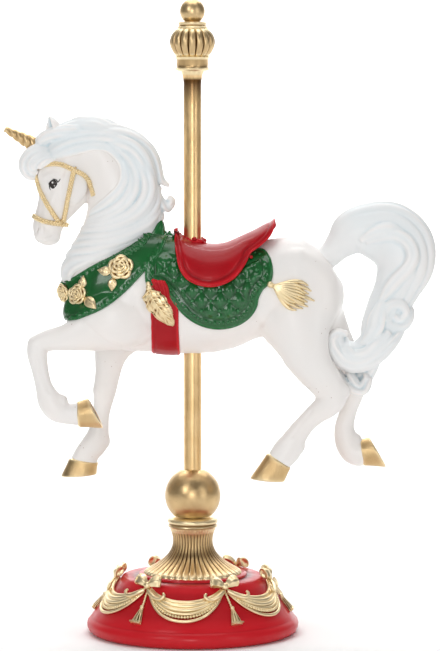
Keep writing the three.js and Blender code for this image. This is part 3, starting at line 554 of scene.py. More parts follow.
def ring_tube(name, loop, radius, fineness=2):
    """A closed round tube along a closed loop of places in mm."""
    return tubes(name, [np.column_stack([loop, np.full(len(loop), radius)])], fineness, closed=True)


def turned(name, profile, segments):
    """A shape turned about the Z axis from (radius, height) points in mm."""
    piece = from_faces(name, [(radius, 0, height) for radius, height in profile], [])
    piece.data.edges.add(len(profile) - 1)
    piece.data.edges.foreach_set("vertices", np.array([(i, i + 1) for i in range(len(profile) - 1)]).ravel())
    edit_all(piece)
    bpy.ops.mesh.spin(steps=segments, angle=2 * math.pi, center=(0, 0, 0), axis=(0, 0, 1))
    bpy.ops.object.mode_set(mode="OBJECT")
    return face_outwards(piece, 0.002)


def ribbed(piece, count, depth_at):
    """Parts a turned shape into convex ribs with sharp grooves between them."""
    places = coordinates(piece)
    radius = np.hypot(places[:, 0], places[:, 1])
    turn = np.arctan2(places[:, 1], places[:, 0]) * count / (2 * math.pi)
    carved = 1 - depth_at(radius) * grooves(turn) / np.maximum(radius, 1e-6)
    move_to(piece, places * np.column_stack([carved, carved, np.ones(len(carved))]))


def scattered(name, piece, ratio, places, sizes):
    """Copies of a small shape, thinned to few faces, at many places and sizes, as one mesh."""
    thin_out(piece, ratio)
    shape = coordinates(piece)
    faces = [tuple(face.vertices) for face in piece.data.polygons]
    bpy.data.objects.remove(piece)
    every = [shape * size + place for place, size in zip(places, sizes)]
    every_face = [tuple(v + i * len(shape) for v in face) for i in range(len(every)) for face in faces]
    return from_faces(name, np.vstack(every), every_face)


def neighbour_mean(edges, values, count):
    degree = np.maximum(np.bincount(edges.ravel(), minlength=count), 1)
    a, b = edges.T
    mean = [np.bincount(a, column[b], count) + np.bincount(b, column[a], count) for column in values.T]
    return np.stack(mean, 1) / degree[:, None]


def soften(piece, middle, reach, passes):
    """Smooths a piece round a place seen from the side, (x, z) in shares, most in the middle."""
    places = coordinates(piece)
    edges = edges_of(piece)
    (x, z), = posed_flat([middle])
    away = ((places[:, 0] - x) / (reach[0] * SHARE)) ** 2 + ((places[:, 2] - z) / (reach[1] * SHARE)) ** 2
    share = np.clip(1.4 * (1 - away), 0, 1)[:, None]
    touched = share[:, 0] > 0
    used = np.flatnonzero(touched)
    renamed = np.full(len(places), -1)
    renamed[used] = np.arange(len(used))
    local = renamed[edges[touched[edges].all(1)]]
    spots, share = places[used], share[used]
    for _ in range(passes):
        spots = spots + (neighbour_mean(local, spots, len(used)) - spots) * share * 0.9
    places[used] = spots
    move_to(piece, places)


def mark_shade_and_highlight(piece, depth, passes):
    """Marks a piece's recesses for painted shade and its ridges for a painted highlight, up to 1 where they
    are this deep or high in mm.
    """
    places = coordinates(piece)
    edges = edges_of(piece)
    softened = places
    for _ in range(passes):
        softened = neighbour_mean(edges, softened, len(places))
    recess = ((softened - places) * normals(piece)).sum(1) / depth
    recess = neighbour_mean(edges, recess[:, None], len(places))[:, 0]
    for name, values in (("recess", recess), ("ridge", -recess)):
        attribute = piece.data.attributes.get(name) or piece.data.attributes.new(name, "FLOAT", "POINT")
        attribute.data.foreach_set("value", np.clip(values, 0, 1).astype(np.float32))


def stroke(piece, line, radius, height):
    """Raises or carves a soft ridge along a line of (x, y, z) in mm."""
    places = coordinates(piece)
    nearest = np.full(len(places), 1e9)
    near = np.all((places > line.min(0) - 3 * radius) & (places < line.max(0) + 3 * radius), axis=1)
    spots = places[near]
    distance = nearest[near]
    for closest in along_lines(line, spots):
        distance = np.minimum(distance, np.linalg.norm(spots - closest, axis=1))
    nearest[near] = distance
    move_to(piece, places + normals(piece) * (height * hump(nearest, 0, radius))[:, None])


class Skin:
    """A surface to lay things on, with places in mm."""

    def __init__(self, *pieces):
        depsgraph = bpy.context.evaluated_depsgraph_get()
        self.trees = [BVHTree.FromObject(piece, depsgraph) for piece in pieces]

    def flank(self, x, z, side):
        """The place and the facing of a flank at x and z, or of the nearest skin past its outline."""
        start = Vector((x, side * 120, z)) * MM
        hits = [hit for hit in (tree.ray_cast(start, Vector((0, -side, 0))) for tree in self.trees)
                if hit[0] is not None]
        if hits:
            place, facing, _, _ = min(hits, key=lambda hit: hit[3])
            return np.array(place) / MM, np.array(facing)
        inner = Vector((x, side * 4, z)) * MM
        place, facing, _, _ = min((tree.find_nearest(inner) for tree in self.trees), key=lambda hit: hit[3])
        return np.array([x, place[1] / MM, z]), np.array(facing)

    def laid(self, path, side, lift=0.0, settle=2):
        """A path of (x, z, ...) in mm laid on a flank: its places and facings."""
        hits = [self.flank(x, z, side) for x, z in path[:, :2]]
        places = np.array([hit[0] for hit in hits])
        facings = unit(np.array([hit[1] for hit in hits]))
        for _ in range(settle):
            places[1:-1, 1] = (places[:-2, 1] + 2 * places[1:-1, 1] + places[2:, 1]) / 4
            facings[1:-1] = unit(facings[:-2] + 2 * facings[1:-1] + facings[2:])
        return places + facings * lift, facings


def hair(count, depth=0.13, phase=0.0):
    """Rounded strands round a lock, which part at sharp grooves."""
    def carve(angle, t):
        return 1 - depth * grooves((angle + phase + 0.35 * np.sin(2.5 * t + phase)) * count / (2 * math.pi))
    return carve


# Paints
def paint(name, colour, second, roughness, coat=0.0, metallic=0.0, blotch=60.0, recess=None, ridge=None,
          bump=0.03,
          grain=420.0, rough_spread=0.08, specks=None, streak=None, streak_depth=0.0, specular=0.5):
    """A brushed paint: two tones in soft blotches, painted shade in the recesses and a painted highlight on
    the ridges, specks and a fine relief.

    recess and ridge are the painted shade and painted highlight tints and the mark at which each is full,
    specks a tint and how fine they are."""
    material = bpy.data.materials.get(name)
    if material:
        return material
    material = bpy.data.materials.new(name)
    material.use_nodes = True
    nodes, links = material.node_tree.nodes, material.node_tree.links
    shader = nodes["Principled BSDF"]
    shader.inputs["Metallic"].default_value = metallic
    shader.inputs["Coat Weight"].default_value = coat
    shader.inputs["Coat Roughness"].default_value = 0.12
    shader.inputs["Specular IOR Level"].default_value = specular
    where = nodes.new("ShaderNodeTexCoord").outputs["Object"]

    def noise(scale, detail=3.0, stretch=None):
        texture = nodes.new("ShaderNodeTexNoise")
        texture.inputs["Scale"].default_value = scale
        texture.inputs["Detail"].default_value = detail
        source = where
        if stretch:
            mapping = nodes.new("ShaderNodeMapping")
            mapping.inputs["Scale"].default_value = stretch
            links.new(where, mapping.inputs["Vector"])
            source = mapping.outputs["Vector"]
        links.new(source, texture.inputs["Vector"])
        return texture.outputs["Fac"]

    def ranged(value, low, high, start=0.0, end=1.0):
        node = nodes.new("ShaderNodeMapRange")
        for socket, number in (("From Min", low), ("From Max", high), ("To Min", start), ("To Max", end)):
            node.inputs[socket].default_value = number
        node.interpolation_type = "SMOOTHSTEP"
        links.new(value, node.inputs["Value"])
        return node.outputs["Result"]

    def mixed(share, a, b):
        node = nodes.new("ShaderNodeMix")
        node.data_type = "RGBA"
        for socket, value in ((node.inputs[0], share), (node.inputs[6], a), (node.inputs[7], b)):
            if isinstance(value, bpy.types.NodeSocket):
                links.new(value, socket)
            else:
                socket.default_value = (*value, 1)
        return node.outputs[2]

    tone = mixed(ranged(noise(blotch), 0.25, 0.75), colour, second)
    if streak:
        tone = mixed(ranged(noise(grain, 3.0, streak), 0.42, 0.7, 0.0, streak_depth), tone, recess[0])
    # Painted shade darkens the recesses and a painted highlight lightens the ridges
    for mark, tint in (("recess", recess), ("ridge", ridge)):
        if tint:
            marked = nodes.new("ShaderNodeAttribute")
            marked.attribute_name = mark
            tone = mixed(ranged(marked.outputs["Fac"], 0.02, tint[1]), tone, tint[0])
    if specks:
        spots = nodes.new("ShaderNodeTexVoronoi")
        spots.inputs["Scale"].default_value = specks[1]
        links.new(where, spots.inputs["Vector"])
        product = nodes.new("ShaderNodeMath")
        product.operation = "MULTIPLY"
        links.new(ranged(noise(specks[1] * 0.31, 1.0), 0.62, 0.68), product.inputs[0])
        links.new(ranged(spots.outputs["Distance"], 0.06, 0.12, 1.0, 0.0), product.inputs[1])
        tone = mixed(product.outputs[0], tone, specks[0])
    links.new(tone, shader.inputs["Base Color"])
    rough = ranged(noise(blotch * 2.3), 0.3, 0.7, roughness - rough_spread, roughness + rough_spread)
    links.new(rough, shader.inputs["Roughness"])
    relief = nodes.new("ShaderNodeBump")
    relief.inputs["Strength"].default_value = bump
    relief.inputs["Distance"].default_value = 0.001
    links.new(noise(grain, 4.0, streak), relief.inputs["Height"])
    links.new(relief.outputs["Normal"], shader.inputs["Normal"])
    return material


def finish(piece, name, material, slot, *nodes, recess=(0.3, 3), sharp=None):
    """Names a finished piece, marks its recesses and ridges for painted shade and highlight, shades it,
    paints it and puts it on the figurine.
    """
    mark_shade_and_highlight(piece, *recess)
    pick(piece)
    if sharp is None:
        bpy.ops.object.shade_smooth()
    else:
        bpy.ops.object.shade_smooth_by_angle(angle=math.radians(sharp))
    piece.name = name
    piece.data.name = name
    piece.data.materials.clear()
    piece.data.materials.append(material)
    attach(piece, "root")
    if nodes:
        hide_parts(*nodes)


def in_mm(name, description, default, least):
    return FloatProperty(name=name, description=description + ", in mm", default=default, min=least)


def how_many(name, description, default, least):
    return IntProperty(name=name, description=description, default=default, min=least)


def tint(name, description, default):
    return FloatVectorProperty(name=name, description=description, subtype="COLOR", size=3, default=default)


class UnicornSizes(PropertyGroup):
    """Sizes that a user would change."""
    skin_voxel: in_mm("Skin fineness", "Grid on which the horse's form is fused", 0.6, 0.4)
    hair_voxel: in_mm("Hair fineness", "Grid on which the hair is fused", 0.5, 0.4)
    cloth_thickness: in_mm("Cloth thickness", "How far the saddle cloth stands proud", 1.3, 0.5)
    collar_thickness: in_mm("Collar thickness", "How far the collar stands proud", 1.6, 0.5)
    girth_thickness: in_mm("Girth thickness", "How far the girth stands proud", 1.0, 0.4)
    flutes: how_many("Flutes", "Ribs round the pedestal", 40, 8)
    lobes: how_many("Finial lobes", "Lobes round the finial's bulb", 16, 6)
    swags: how_many("Swags", "Swags round the base", 6, 3)


class UnicornColours(PropertyGroup):
    """Paint colours."""
    white: tint("White", "The horse's coat", (0.86, 0.84, 0.82))
    hair: tint("Hair", "The mane and the tail", (0.86, 0.855, 0.85))
    hair_shade: tint("Hair shade", "The hair's recesses", (0.62, 0.715, 0.76))
    red: tint("Red", "The saddle, the girth and the base", (0.345, 0.003, 0.008))
    green: tint("Green", "The cloth and the collar", (0.007, 0.078, 0.017))
    gold: tint("Gold", "The gilding", (0.58, 0.395, 0.19))


def sizes():
    return bpy.context.scene.unicorn_sizes


def colours():
    return bpy.context.scene.unicorn_colours


def white_paint():
    # The darker recess tint is painted shade.
    return paint("white_glaze", colours().white, (0.88, 0.84, 0.81), 0.42, coat=0.12, blotch=38, grain=500,
                 recess=((0.70, 0.61, 0.57), 1.5), specks=((0.35, 0.24, 0.17), 420.0))


def hair_paint():
    # The pale blue recess tint is painted shade, the lighter ridge tint a painted highlight.
    return paint("hair_glaze", colours().hair, (0.795, 0.842, 0.862), 0.46, coat=0.1, blotch=24, grain=500,
                 recess=(colours().hair_shade, 0.95), ridge=((0.92, 0.885, 0.86), 0.9))


def red_paint():
    # The dark recess tint is painted shade, the lighter ridge tint a painted highlight.
    return paint("red_enamel", colours().red, (0.405, 0.005, 0.011), 0.36, coat=0.1, blotch=45, bump=0.012,
                 recess=((0.13, 0.001, 0.003), 0.8), ridge=((0.58, 0.012, 0.02), 1.0), specular=0.18)


def green_paint():
    # The dark recess tint is painted shade, the lighter ridge tint a painted highlight.
    return paint("green_enamel", colours().green, (0.007, 0.115, 0.024), 0.2, coat=0.6, blotch=70,
                 recess=((0.002, 0.024, 0.006), 0.9), ridge=((0.015, 0.15, 0.04), 1.0), specular=0.3)


def eye_paint():
    return paint("eye_enamel", (0.012, 0.01, 0.01), (0.025, 0.018, 0.015), 0.2, coat=0.25, blotch=300,
                 grain=900.0,
                 rough_spread=0.04, specular=0.3)


def gold_paint(name="shaded_gilding", lighter=1.0, grain=420.0, bump=0.02, streak=None, streak_depth=0.0):
    """Gold with painted shade in its recesses and a painted highlight on its ridges."""
    first, second = ([lighter * share for share in tone] for tone in (colours().gold, (0.68, 0.485, 0.25)))
    return paint(name, first, second, 0.36, metallic=1.0, blotch=110, rough_spread=0.06, bump=bump,
                 grain=grain,
                 recess=((0.13, 0.06, 0.02), 0.45), ridge=((0.90, 0.74, 0.46), 0.9),
                 specks=((0.12, 0.07, 0.03), 700.0), streak=streak, streak_depth=streak_depth)


def pole_gilding():
    # Painted light: the pole's gold is 1.4 times lighter than the other gilding, standing in for the bright
    # reflection down its middle.
    return gold_paint("pole_gilding", 1.4, grain=520.0, streak=(1, 1, 0.03), streak_depth=0.22)


def hoof_gilding():
    return gold_paint("hoof_gilding", grain=2600.0, bump=0.25, streak=(1, 1, 0.12))


# The stage
def make_stage():
    floor = from_faces("floor", [(-4000, -5000, 0), (4000, -5000, 0), (4000, 2600, 0), (-4000, 2600, 0),
                                 (4000, 3100, 500), (-4000, 3100, 500), (4000, 3100, 3500),
                                 (-4000, 3100, 3500)],
                       [(0, 1, 2, 3), (3, 2, 4, 5), (5, 4, 6, 7)])
    bend = floor.modifiers.new("Sweep", "BEVEL")
    bend.width = 0.45
    bend.segments = 12
    apply_all(floor)
    bpy.ops.object.shade_smooth()
    pale = bpy.data.materials.new("stage_paper")
    pale.use_nodes = True
    pale.node_tree.nodes["Principled BSDF"].inputs["Base Color"].default_value = (0.97, 0.97, 0.97, 1)
    pale.node_tree.nodes["Principled BSDF"].inputs["Roughness"].default_value = 0.9
    floor.data.materials.append(pale)

    world = bpy.data.worlds.new("studio")
    world.use_nodes = True
    world.node_tree.nodes["Background"].inputs["Color"].default_value = (1, 0.985, 0.965, 1)
    world.node_tree.nodes["Background"].inputs["Strength"].default_value = 0.2
    scene = bpy.context.scene
    scene.world = world
    scene.view_settings.view_transform = "Standard"

    def put(name, thing, place, target):
        item = bpy.data.objects.new(name, thing)
        item.location = place
        item.rotation_euler = (Vector(target) - Vector(place)).to_track_quat("-Z", "Y").to_euler()
        bpy.context.collection.objects.link(item)
        return item

    for name, place, target, size, power in (
            ("key_light", (-1.0, -1.5, 1.1), (0, 0, 0.15), (0.55, 1.1), 8.2),
            ("fill_light", (1.25, -1.2, 0.6), (0, 0, 0.15), (0.4, 1.1), 4),
            ("front_light", (-0.1, -2.4, 0.48), (0, 0, 0.2), (0.6, 0.85), 10),
            ("top_light", (0.0, 0.1, 1.5), (0, 0, 0.1), (1.2, 1.0), 9),
            ("backdrop_light", (0, 1.5, 2.2), (0, 3.0, 0.5), (3.0, 0.8), 110)):
        light = bpy.data.lights.new(name, "AREA")
        light.shape = "RECTANGLE"
        light.size, light.size_y = size
        light.energy = power
        put(name, light, place, target)

    camera = bpy.data.cameras.new("camera")
    camera.lens = 170.7
    camera.sensor_width = 36
    camera.clip_end = 20
    bpy.context.scene.camera = put("camera", camera, (0.01424, -1.6, 0.2922), (0.01424, 0, 0.1609))


# The stand
def on_cone(degrees, height, proud=0.0):
    """A place on the base's cone, this far along from the front and above the floor, and its facing."""
    angle = np.radians(np.asarray(degrees, float) - 90)
    radius = np.interp(height, [RIM_HEIGHT, BASE_HEIGHT, 2 * BASE_HEIGHT],
                       [RIM_RADIUS, BASE_TOP_RADIUS, 13.1])
    facing = unit(np.stack([np.cos(angle), np.sin(angle), np.full_like(angle, 0.79)], -1))
    place = np.stack([radius * np.cos(angle), radius * np.sin(angle), height + 0 * angle], -1)
    return place + facing * proud, facing


def bow(side, knot, facing):
    """One half of a bow: an open loop with a rolled edge, and a tail that curls up over the swag."""
    up = unit(np.array([0, 0.55, 0.85]))
    loop = []
    for along, rise, deep, wide, out in ((0.7, 0.2, 1.0, 1, 0), (2.1, 1.1, 2.0, 1.4, 0.5),
                                         (3.8, 2.1, 2.8, 1.8, 0.7),
                                         (5.4, 2.8, 3.2, 2.0, 0.3), (6.5, 3.1, 3.0, 1.8, -0.2)):
        place = knot + np.array([side * along, 0, 0]) + up * rise + facing * out
        place = place + np.array([0, 0.012 * along**2, 0])
        loop.append((*place, deep, wide))
    parts = [limb(loop, 20, 12, facing, lambda angle, t: 1 + 0.12 * np.cos(5 * angle), cap=-0.9)]
    end = np.array(loop[-1][:3])
    outwards = unit(end - loop[-2][:3])
    across = unit(np.cross(outwards, facing))
    upright = unit(np.cross(across, outwards))
    turn = np.linspace(0, 2 * math.pi, 20, endpoint=False)[:, None]
    parts.append(ring_tube("loop_edge", end + across * np.cos(turn) * 2.8 + upright * np.sin(turn) * 1.9,
                           0.5))
    tail = [(side * 1.2, -1.4, 0.3, 1.1), (side * 3.8, -3.2, 0.6, 1.35), (side * 6.6, -4.7, 0.6, 1.25),
            (side * 9.2, -5.1, 1.0, 1.0), (side * 10.7, -3.8, 1.6, 0.9), (side * 10.0, -2.7, 1.8, 0.6)]
    ribbon = [(*on_cone(math.degrees(x / 38), 27.8 + z, out + 1.4)[0], radius)
              for x, z, out, radius in curve_through(tail, 18)]
    return parts + [tubes("tail", [ribbon], 3)]


def make_base():
    profile = [(0, 0), (51, 0), (52.4, 0.3), (54.2, 1.5), (55.2, 3.4), (55.35, 5), (54.9, 6.6), (53.9, 7.8),
               (53.3, 8.3), (53, 8.7), (52.8, 9.3)]
    profile += [(float(np.interp(z, [RIM_HEIGHT, BASE_HEIGHT], [RIM_RADIUS, BASE_TOP_RADIUS])) - 0.3, z)
                for z in (11, 15, 19, 23, 26, 28)]
    profile += [(37.2, 29.1), (36.6, 29.7), (35.8, 30), (28.3, 30), (28.2, 30.2), (28.2, 31), (28, 31.2),
                (0, 31.2)]
    dish = turned("base_dish", profile, 144)
    finish(dish, "base_dish", red_paint(), "red_paint", "base", recess=(0.3, 6), sharp=50)

    # One swag from a bow at 0 degrees to the next bow, and that bow with its tassel
    spacing = 360 / sizes().swags
    s = np.linspace(-1, 1, 41)
    sag = 1 - np.abs(s) ** 2.1

    def fold(middle_height, proud, thick, thin=0.55):
        ends = 26.7 + (middle_height - 17.5) * 0.25
        places, _ = on_cone(spacing / 2 + s * spacing * 0.46, ends + (middle_height - ends) * sag, proud)
        return np.column_stack([places, thin + (thick - thin) * sag])

    folds = [fold(22.2, 0.5, 1.15), fold(20.4, 1.0, 1.3), fold(18.6, 1.1, 1.2), fold(16.9, 0.8, 0.9),
             fold(13.6, 0.7, 0.9, 0.45)]
    beads = even(fold(15.4, 1.1, 0.6, 0.5), 1.55)[2:-2, :3]
    parts = [tubes("folds", folds, 3),
             scattered("beading", lump((0, 0, 0), (0.85, 0.85, 0.85)), 0.12, beads, [1] * len(beads))]
    knot, facing = on_cone(0, 28.2, 2.4)
    for side in SIDES:
        parts += bow(side, knot, facing)
    parts.append(lump(knot, (1.8, 1.6, 2.0)))
    lean = 1.5  # the tassels hang a little to one side, in degrees
    cord = [(*on_cone(lean * (28 - z) / 9, z, 0.5)[0], 0.62 + 0.12 * math.sin(z * 5))
            for z in np.linspace(28, 19.4, 32)]
    skirt = [(*on_cone(lean, z, 0.7)[0], deep, wide) for z, deep, wide in (
        (18.6, 0.8, 0.8), (17.2, 1.3, 1.1), (14.8, 2.2, 1.4), (12.4, 3.1, 1.6), (11.5, 3.3, 1.4))]
    hem = [(*on_cone(lean + math.degrees(x / 52), 12.2 - 0.02 * x * x, 1.9)[0],
            0.5) for x in np.linspace(-3.4, 3.4, 10)]
    parts += [tubes("cord", [cord], 2), lump(on_cone(lean, 19, 0.9)[0], (1.2, 1.1, 1.1)),
              limb(skirt, 48, 14, facing, hair(9, 0.35), cap=0.1), tubes("hem", [hem], 1)]
    swag = join("swag", parts)
    spots = coordinates(swag)
    swags = []
    for i in range(sizes().swags):
        twin = copy_of(swag, "swag_copy")
        angle = math.radians(FIRST_BOW_ANGLE + i * spacing)
        cosine, sine = math.cos(angle), math.sin(angle)
        move_to(twin, spots @ np.array([(cosine, sine, 0), (-sine, cosine, 0), (0, 0, 1)]))
        swags.append(twin)
    bpy.data.objects.remove(swag)
    trim = join("base_swags", swags)
    finish(trim, "base_swags", gold_paint(), "gold_paint", "base", recess=(0.11, 5), sharp=60)


def make_pedestal():
    foot, height, ring = BASE_HEIGHT + 0.4, 30.1, 5.2
    flare_radius = [[25.4], [20.8], [16.5], [13.3], [11.4], [10.5], [10.4], [11.0], [12.1]]
    profile = [(0, foot), (24.8, foot), (25.5, foot + 0.3), (25.7, foot + 0.8)]
    profile += [(float(radius), foot + 1 + (height - ring - 1) * t)
                for t, radius in zip(np.linspace(0.03, 1, 26), curve_through(flare_radius, 26)[:, 0])]
    flare = turned("flare", profile + [(0, foot + height - ring)], sizes().flutes * 8)
    ribbed(flare, sizes().flutes, lambda radius: np.where(radius > 5, 0.12 + 0.03 * radius, 0))
    top, low = foot + height, foot + height - ring
    collar = turned("collar", [
        (0, low - 0.3), (11.6, low - 0.3), (12.4, low + 0.1), (12.9, low + 0.7), (12.7, low + 1.3),
        (12.2, low + 1.7),
        (12.3, low + 2.1), (12.9, low + 2.5), (13.1, low + 3.2), (12.9, top - 1.2), (12.2, top - 0.5),
        (11, top),
        (0, top)], 96)
    piece = join("pedestal_flare", [flare, collar])
    finish(piece, "pedestal_flare", gold_paint(), "gold_paint", "pedestal", sharp=40)


def make_ball():
    centre = BASE_HEIGHT + 31.3 + math.sqrt(BALL_RADIUS**2 - BALL_FLAT_RADIUS**2)
    flat = math.asin(BALL_FLAT_RADIUS / BALL_RADIUS)
    profile = [(BALL_RADIUS * math.sin(angle), centre + BALL_RADIUS * math.cos(angle))
               for angle in np.linspace(math.pi - flat, 0.33, 40)]
    profile = [(0, centre - BALL_RADIUS * math.cos(flat)), *profile, (0, profile[-1][1])]
    ball = turned("pole_ball", profile, 96)
    finish(ball, "pole_ball", gold_paint(), "gold_paint", "ball", recess=(0.3, 2), sharp=50)


def make_pole():
    profile = [(0, 40.5), (POLE_RADIUS, 40.5)] + [(POLE_RADIUS, z) for z in np.linspace(60, 286, 24)]
    profile += [(4.75, 288), (5.1, 290), (5.7, 291.8), (6.2, FINIAL_FOOT), (0, FINIAL_FOOT)]
    pole = turned("gilt_pole", profile, 64)
    finish(pole, "gilt_pole", pole_gilding(), "gold_paint", "pole", recess=(0.3, 2), sharp=50)


def make_finial():
    def above(points):
        return [(radius, FINIAL_FOOT + height) for radius, height in points]

    cup = turned("cup", above([
        (0, -0.2), (7.6, -0.2), (8.7, 0.4), (8.9, 1), (8.2, 1.7), (8, 2.2), (8.3, 3), (8.1, 5.4),
        (8.6, 6.2), (8.9, 7),
        (8, 7.6), (0, 7.6)]), 64)
    lobed = [(6.9 + (11.7 - 6.9) * math.sin(math.pi * min(0.04 + t * 0.94, 1) ** 1.12) ** 0.7, 6.8 + 15 * t)
             for t in np.linspace(0, 1, 22)]
    bulb = turned("bulb", above([(0, 6.6), *lobed, (0, 21.8)]), sizes().lobes * 14)
    ribbed(bulb, sizes().lobes, lambda radius: np.where(radius > 3, 0.14 * radius, 0))
    neck = turned("neck", above([
        (0, 21), (7.2, 21), (7.6, 21.6), (7.6, 22.6), (7.1, 23), (6.9, 23.4), (7.3, 23.9), (7.3, 24.7),
        (6.6, 25.2),
        (0, 25.2)]), 64)
    globe = [(6.5 * math.sin(a), 30.5 - 6.5 * math.cos(a)) for a in np.linspace(0.12, math.pi - 0.06, 30)]
    ball = turned("top_ball", above([(0, 24), *globe, (0, 37)]), 64)
    piece = join("gilt_finial", [cup, bulb, neck, ball])
    finish(piece, "gilt_finial", gold_paint(), "gold_paint", "finial", recess=(0.35, 3), sharp=45)


# The horse
def horse_form():
    """The whole horse's form without its hair, fused once and kept to lay things on."""
    form = bpy.data.objects.get("horse_form")
    if form:
        return form
    torso = np.array(TORSO, float)
    torso[:2, 0] += 0.8
    parts = [
        limb(posed(torso), 40, 48), limb(posed(NECK), 32, 28), limb(posed(HEAD), 32, 32),
        limb(posed(NEAR_ARM), 24, 24), limb(posed(NEAR_FORE_SHANK), 24, 36), limb(posed(FAR_FORE), 24, 40),
        limb(posed(NEAR_HIND), 28, 44), limb(posed(FAR_HIND), 28, 44),
    ]
    for centre, radii, turn in MUSCLES:
        parts.append(lump(posed([centre])[0], [radius * SHARE for radius in radii], turn))
    form = join("horse_form", parts)
    melt(form, sizes().skin_voxel, 20)
    for middle, reach, passes in SOFT_PLACES:
        soften(form, middle, reach, passes)
    skin = Skin(form)
    for path, radius, height, sides in FOLDS:
        line = even(curve_through(posed_flat(path), 24), 1.0)
        for side in sides:
            stroke(form, skin.laid(line, side)[0], radius, height)
    form.hide_render = True
    return form


def make_body():
    """Cuts the form under the collar into the body, and the neck and head."""
    a, b = posed_flat([(-27.5, 13), (-8.2, 27)])
    across = unit(np.array([-(b - a)[1], (b - a)[0]]))
    for name, upper in (("horse_body", False), ("horse_head", True)):
        piece = copy_of(horse_form(), name)
        piece.hide_render = False
        edit_all(piece)
        bpy.ops.mesh.bisect(plane_co=(a[0] * MM, 0, a[1] * MM), plane_no=(across[0], 0, across[1]),
                            use_fill=True,
                            clear_inner=upper, clear_outer=not upper)
        bpy.ops.object.mode_set(mode="OBJECT")
        if not upper:
            thin_out(piece, 0.68)
        finish(piece, name, white_paint(), "white_paint", "horse", recess=(0.22, 6))


def make_hooves():
    around = 40
    turn = np.linspace(0, 2 * math.pi, around, endpoint=False)
    pieces = []
    for name, (front_top, heel_top, front_sole, heel_sole, y) in HOOVES.items():
        rings = []
        for t, swell in ((-0.05, 0.86), (0, 0.98), (0.06, 1.03), (0.14, 1), (0.5, 1.01), (0.85, 1.03),
                         (0.96, 1.03),
                         (1, 0.98), (1.0, 0.8), (0.93, 0.7)):
            front = np.array(front_top) + (np.array(front_sole) - front_top) * t
            heel = np.array(heel_top) + (np.array(heel_sole) - heel_top) * t
            along = 0.5 - 0.5 * np.cos(turn) * swell
            wide = (2.45 + 0.45 * t) * swell * np.sin(turn) * (1 - 0.12 * np.cos(turn) ** 2)
            xz = front + along[:, None] * (heel - front)
            rings.append(np.column_stack([xz[:, 0], y + wide, xz[:, 1]]))
        places = np.vstack(rings + [rings[0].mean(0), rings[-1].mean(0)]) * SHARE + (0, 0, BELLY_HEIGHT)
        faces = []
        for i in range(around):
            j = (i + 1) % around
            for r in range(0, (len(rings) - 1) * around, around):
                faces.append((r + i, r + j, r + around + j, r + around + i))
            last = (len(rings) - 1) * around
            faces += [(j, i, len(places) - 2), (last + i, last + j, len(places) - 1)]
        pieces.append(face_outwards(from_faces(name, places, faces)))
    hooves = join("hooves", pieces)
    finer = hooves.modifiers.new("Finer", "SUBSURF")
    finer.levels = finer.render_levels = 1
    apply_all(hooves)
    finish(hooves, "hooves", hoof_gilding(), "gold_paint", "horse", recess=(0.3, 4), sharp=50)


def lock(path, side, skin, proud, strands, phase, along=30, grow=1.1, depth=0.3):
    """A lock of hair that lies on a flank: an oval form parted into strands."""
    line = curve_through(posed_flat(path), 14)
    places, facings = skin.laid(line, side, 0.0, 4)
    half = np.maximum(line[:, 2] * grow, 0.5)
    wide = half * proud
    stations = np.column_stack([places + facings * (wide * 0.15)[:, None], half, wide])
    return limb(stations, 44, along, facings, hair(strands, depth, phase))


def make_mane():
    core = limb(posed(MANE), 28, 30)
    under = copy_of(core, "mane_under")
    skin = Skin(horse_form(), under)
    parts = [core]
    for i, path in enumerate(MANE_LOCKS):
        for side in SIDES:
            parts.append(lock(path, side, skin, 0.5 + 0.05 * (i % 3), 5, i * 1.3 + side, grow=1.2,
                              depth=0.46))
    # Flat hair over the poll and the brow, which meets the neck without an edge
    for path in FLAT_LOCKS:
        for side in SIDES:
            parts.append(lock(path, side, skin, 0.2, 4, side))
    for side in SIDES:
        parts.append(limb(posed(EAR_LOCK) * (1, side, 1, 1, 1), 44, 30, carve=hair(6, 0.28, side)))
    parts.append(limb(posed(CREST), 72, 60, carve=hair(10, 0.34)))
    parts.append(limb(posed(LOW_CREST), 48, 30, carve=hair(7, 0.24)))
    for i, path in enumerate(FORELOCK):
        for side in SIDES:
            line = [(x, side * (0.9 + 0.75 * i + 0.25 * half), z, half, half * 1.3) for x, z, half in path]
            parts.append(limb(posed(line), 44, 36, carve=hair(5, 0.42, i + side)))
    mane = join("mane", parts)
    bpy.data.objects.remove(under)
    melt(mane, sizes().hair_voxel, 2)
    finish(mane, "mane", hair_paint(), "hair_paint", "horse", recess=(0.5, 14))


def make_tail():
    stations = np.array(TAIL, float)
    stations[3:8, 2] += 0.7
    stations[3:7, 3] += 0.3
    core = limb(posed(stations), 40, 70)
    skin = Skin(core)

    def plume(angle, t):
        # Strands along the outer edge, smooth hair inside it
        outer = np.clip((np.cos(angle) + 0.1) / 0.7, 0, 1) * np.clip((t - 0.16) * 5, 0, 1)
        return 1.0 - (0.012 + 0.13 * outer) * grooves(angle * 13 / (2 * math.pi) + 0.2 * np.sin(9 * t))

    parts = [limb(posed(stations), 120, 120, carve=plume)]
    for i, path in enumerate(TAIL_LOCKS):
        for side in SIDES:
            parts.append(lock(path, side, skin, 0.5, 5, i + side, along=44, depth=0.34))
    parts.append(limb(posed(TAIL_TIP), 48, 24, carve=hair(7, 0.26)))
    tail = join("tail", parts)
    bpy.data.objects.remove(core)
    melt(tail, sizes().hair_voxel, 3)
    soften(tail, (40.3, 21.8), (3.6, 3.6), 80)
    finish(tail, "tail", hair_paint(), "hair_paint", "horse", recess=(0.55, 14))


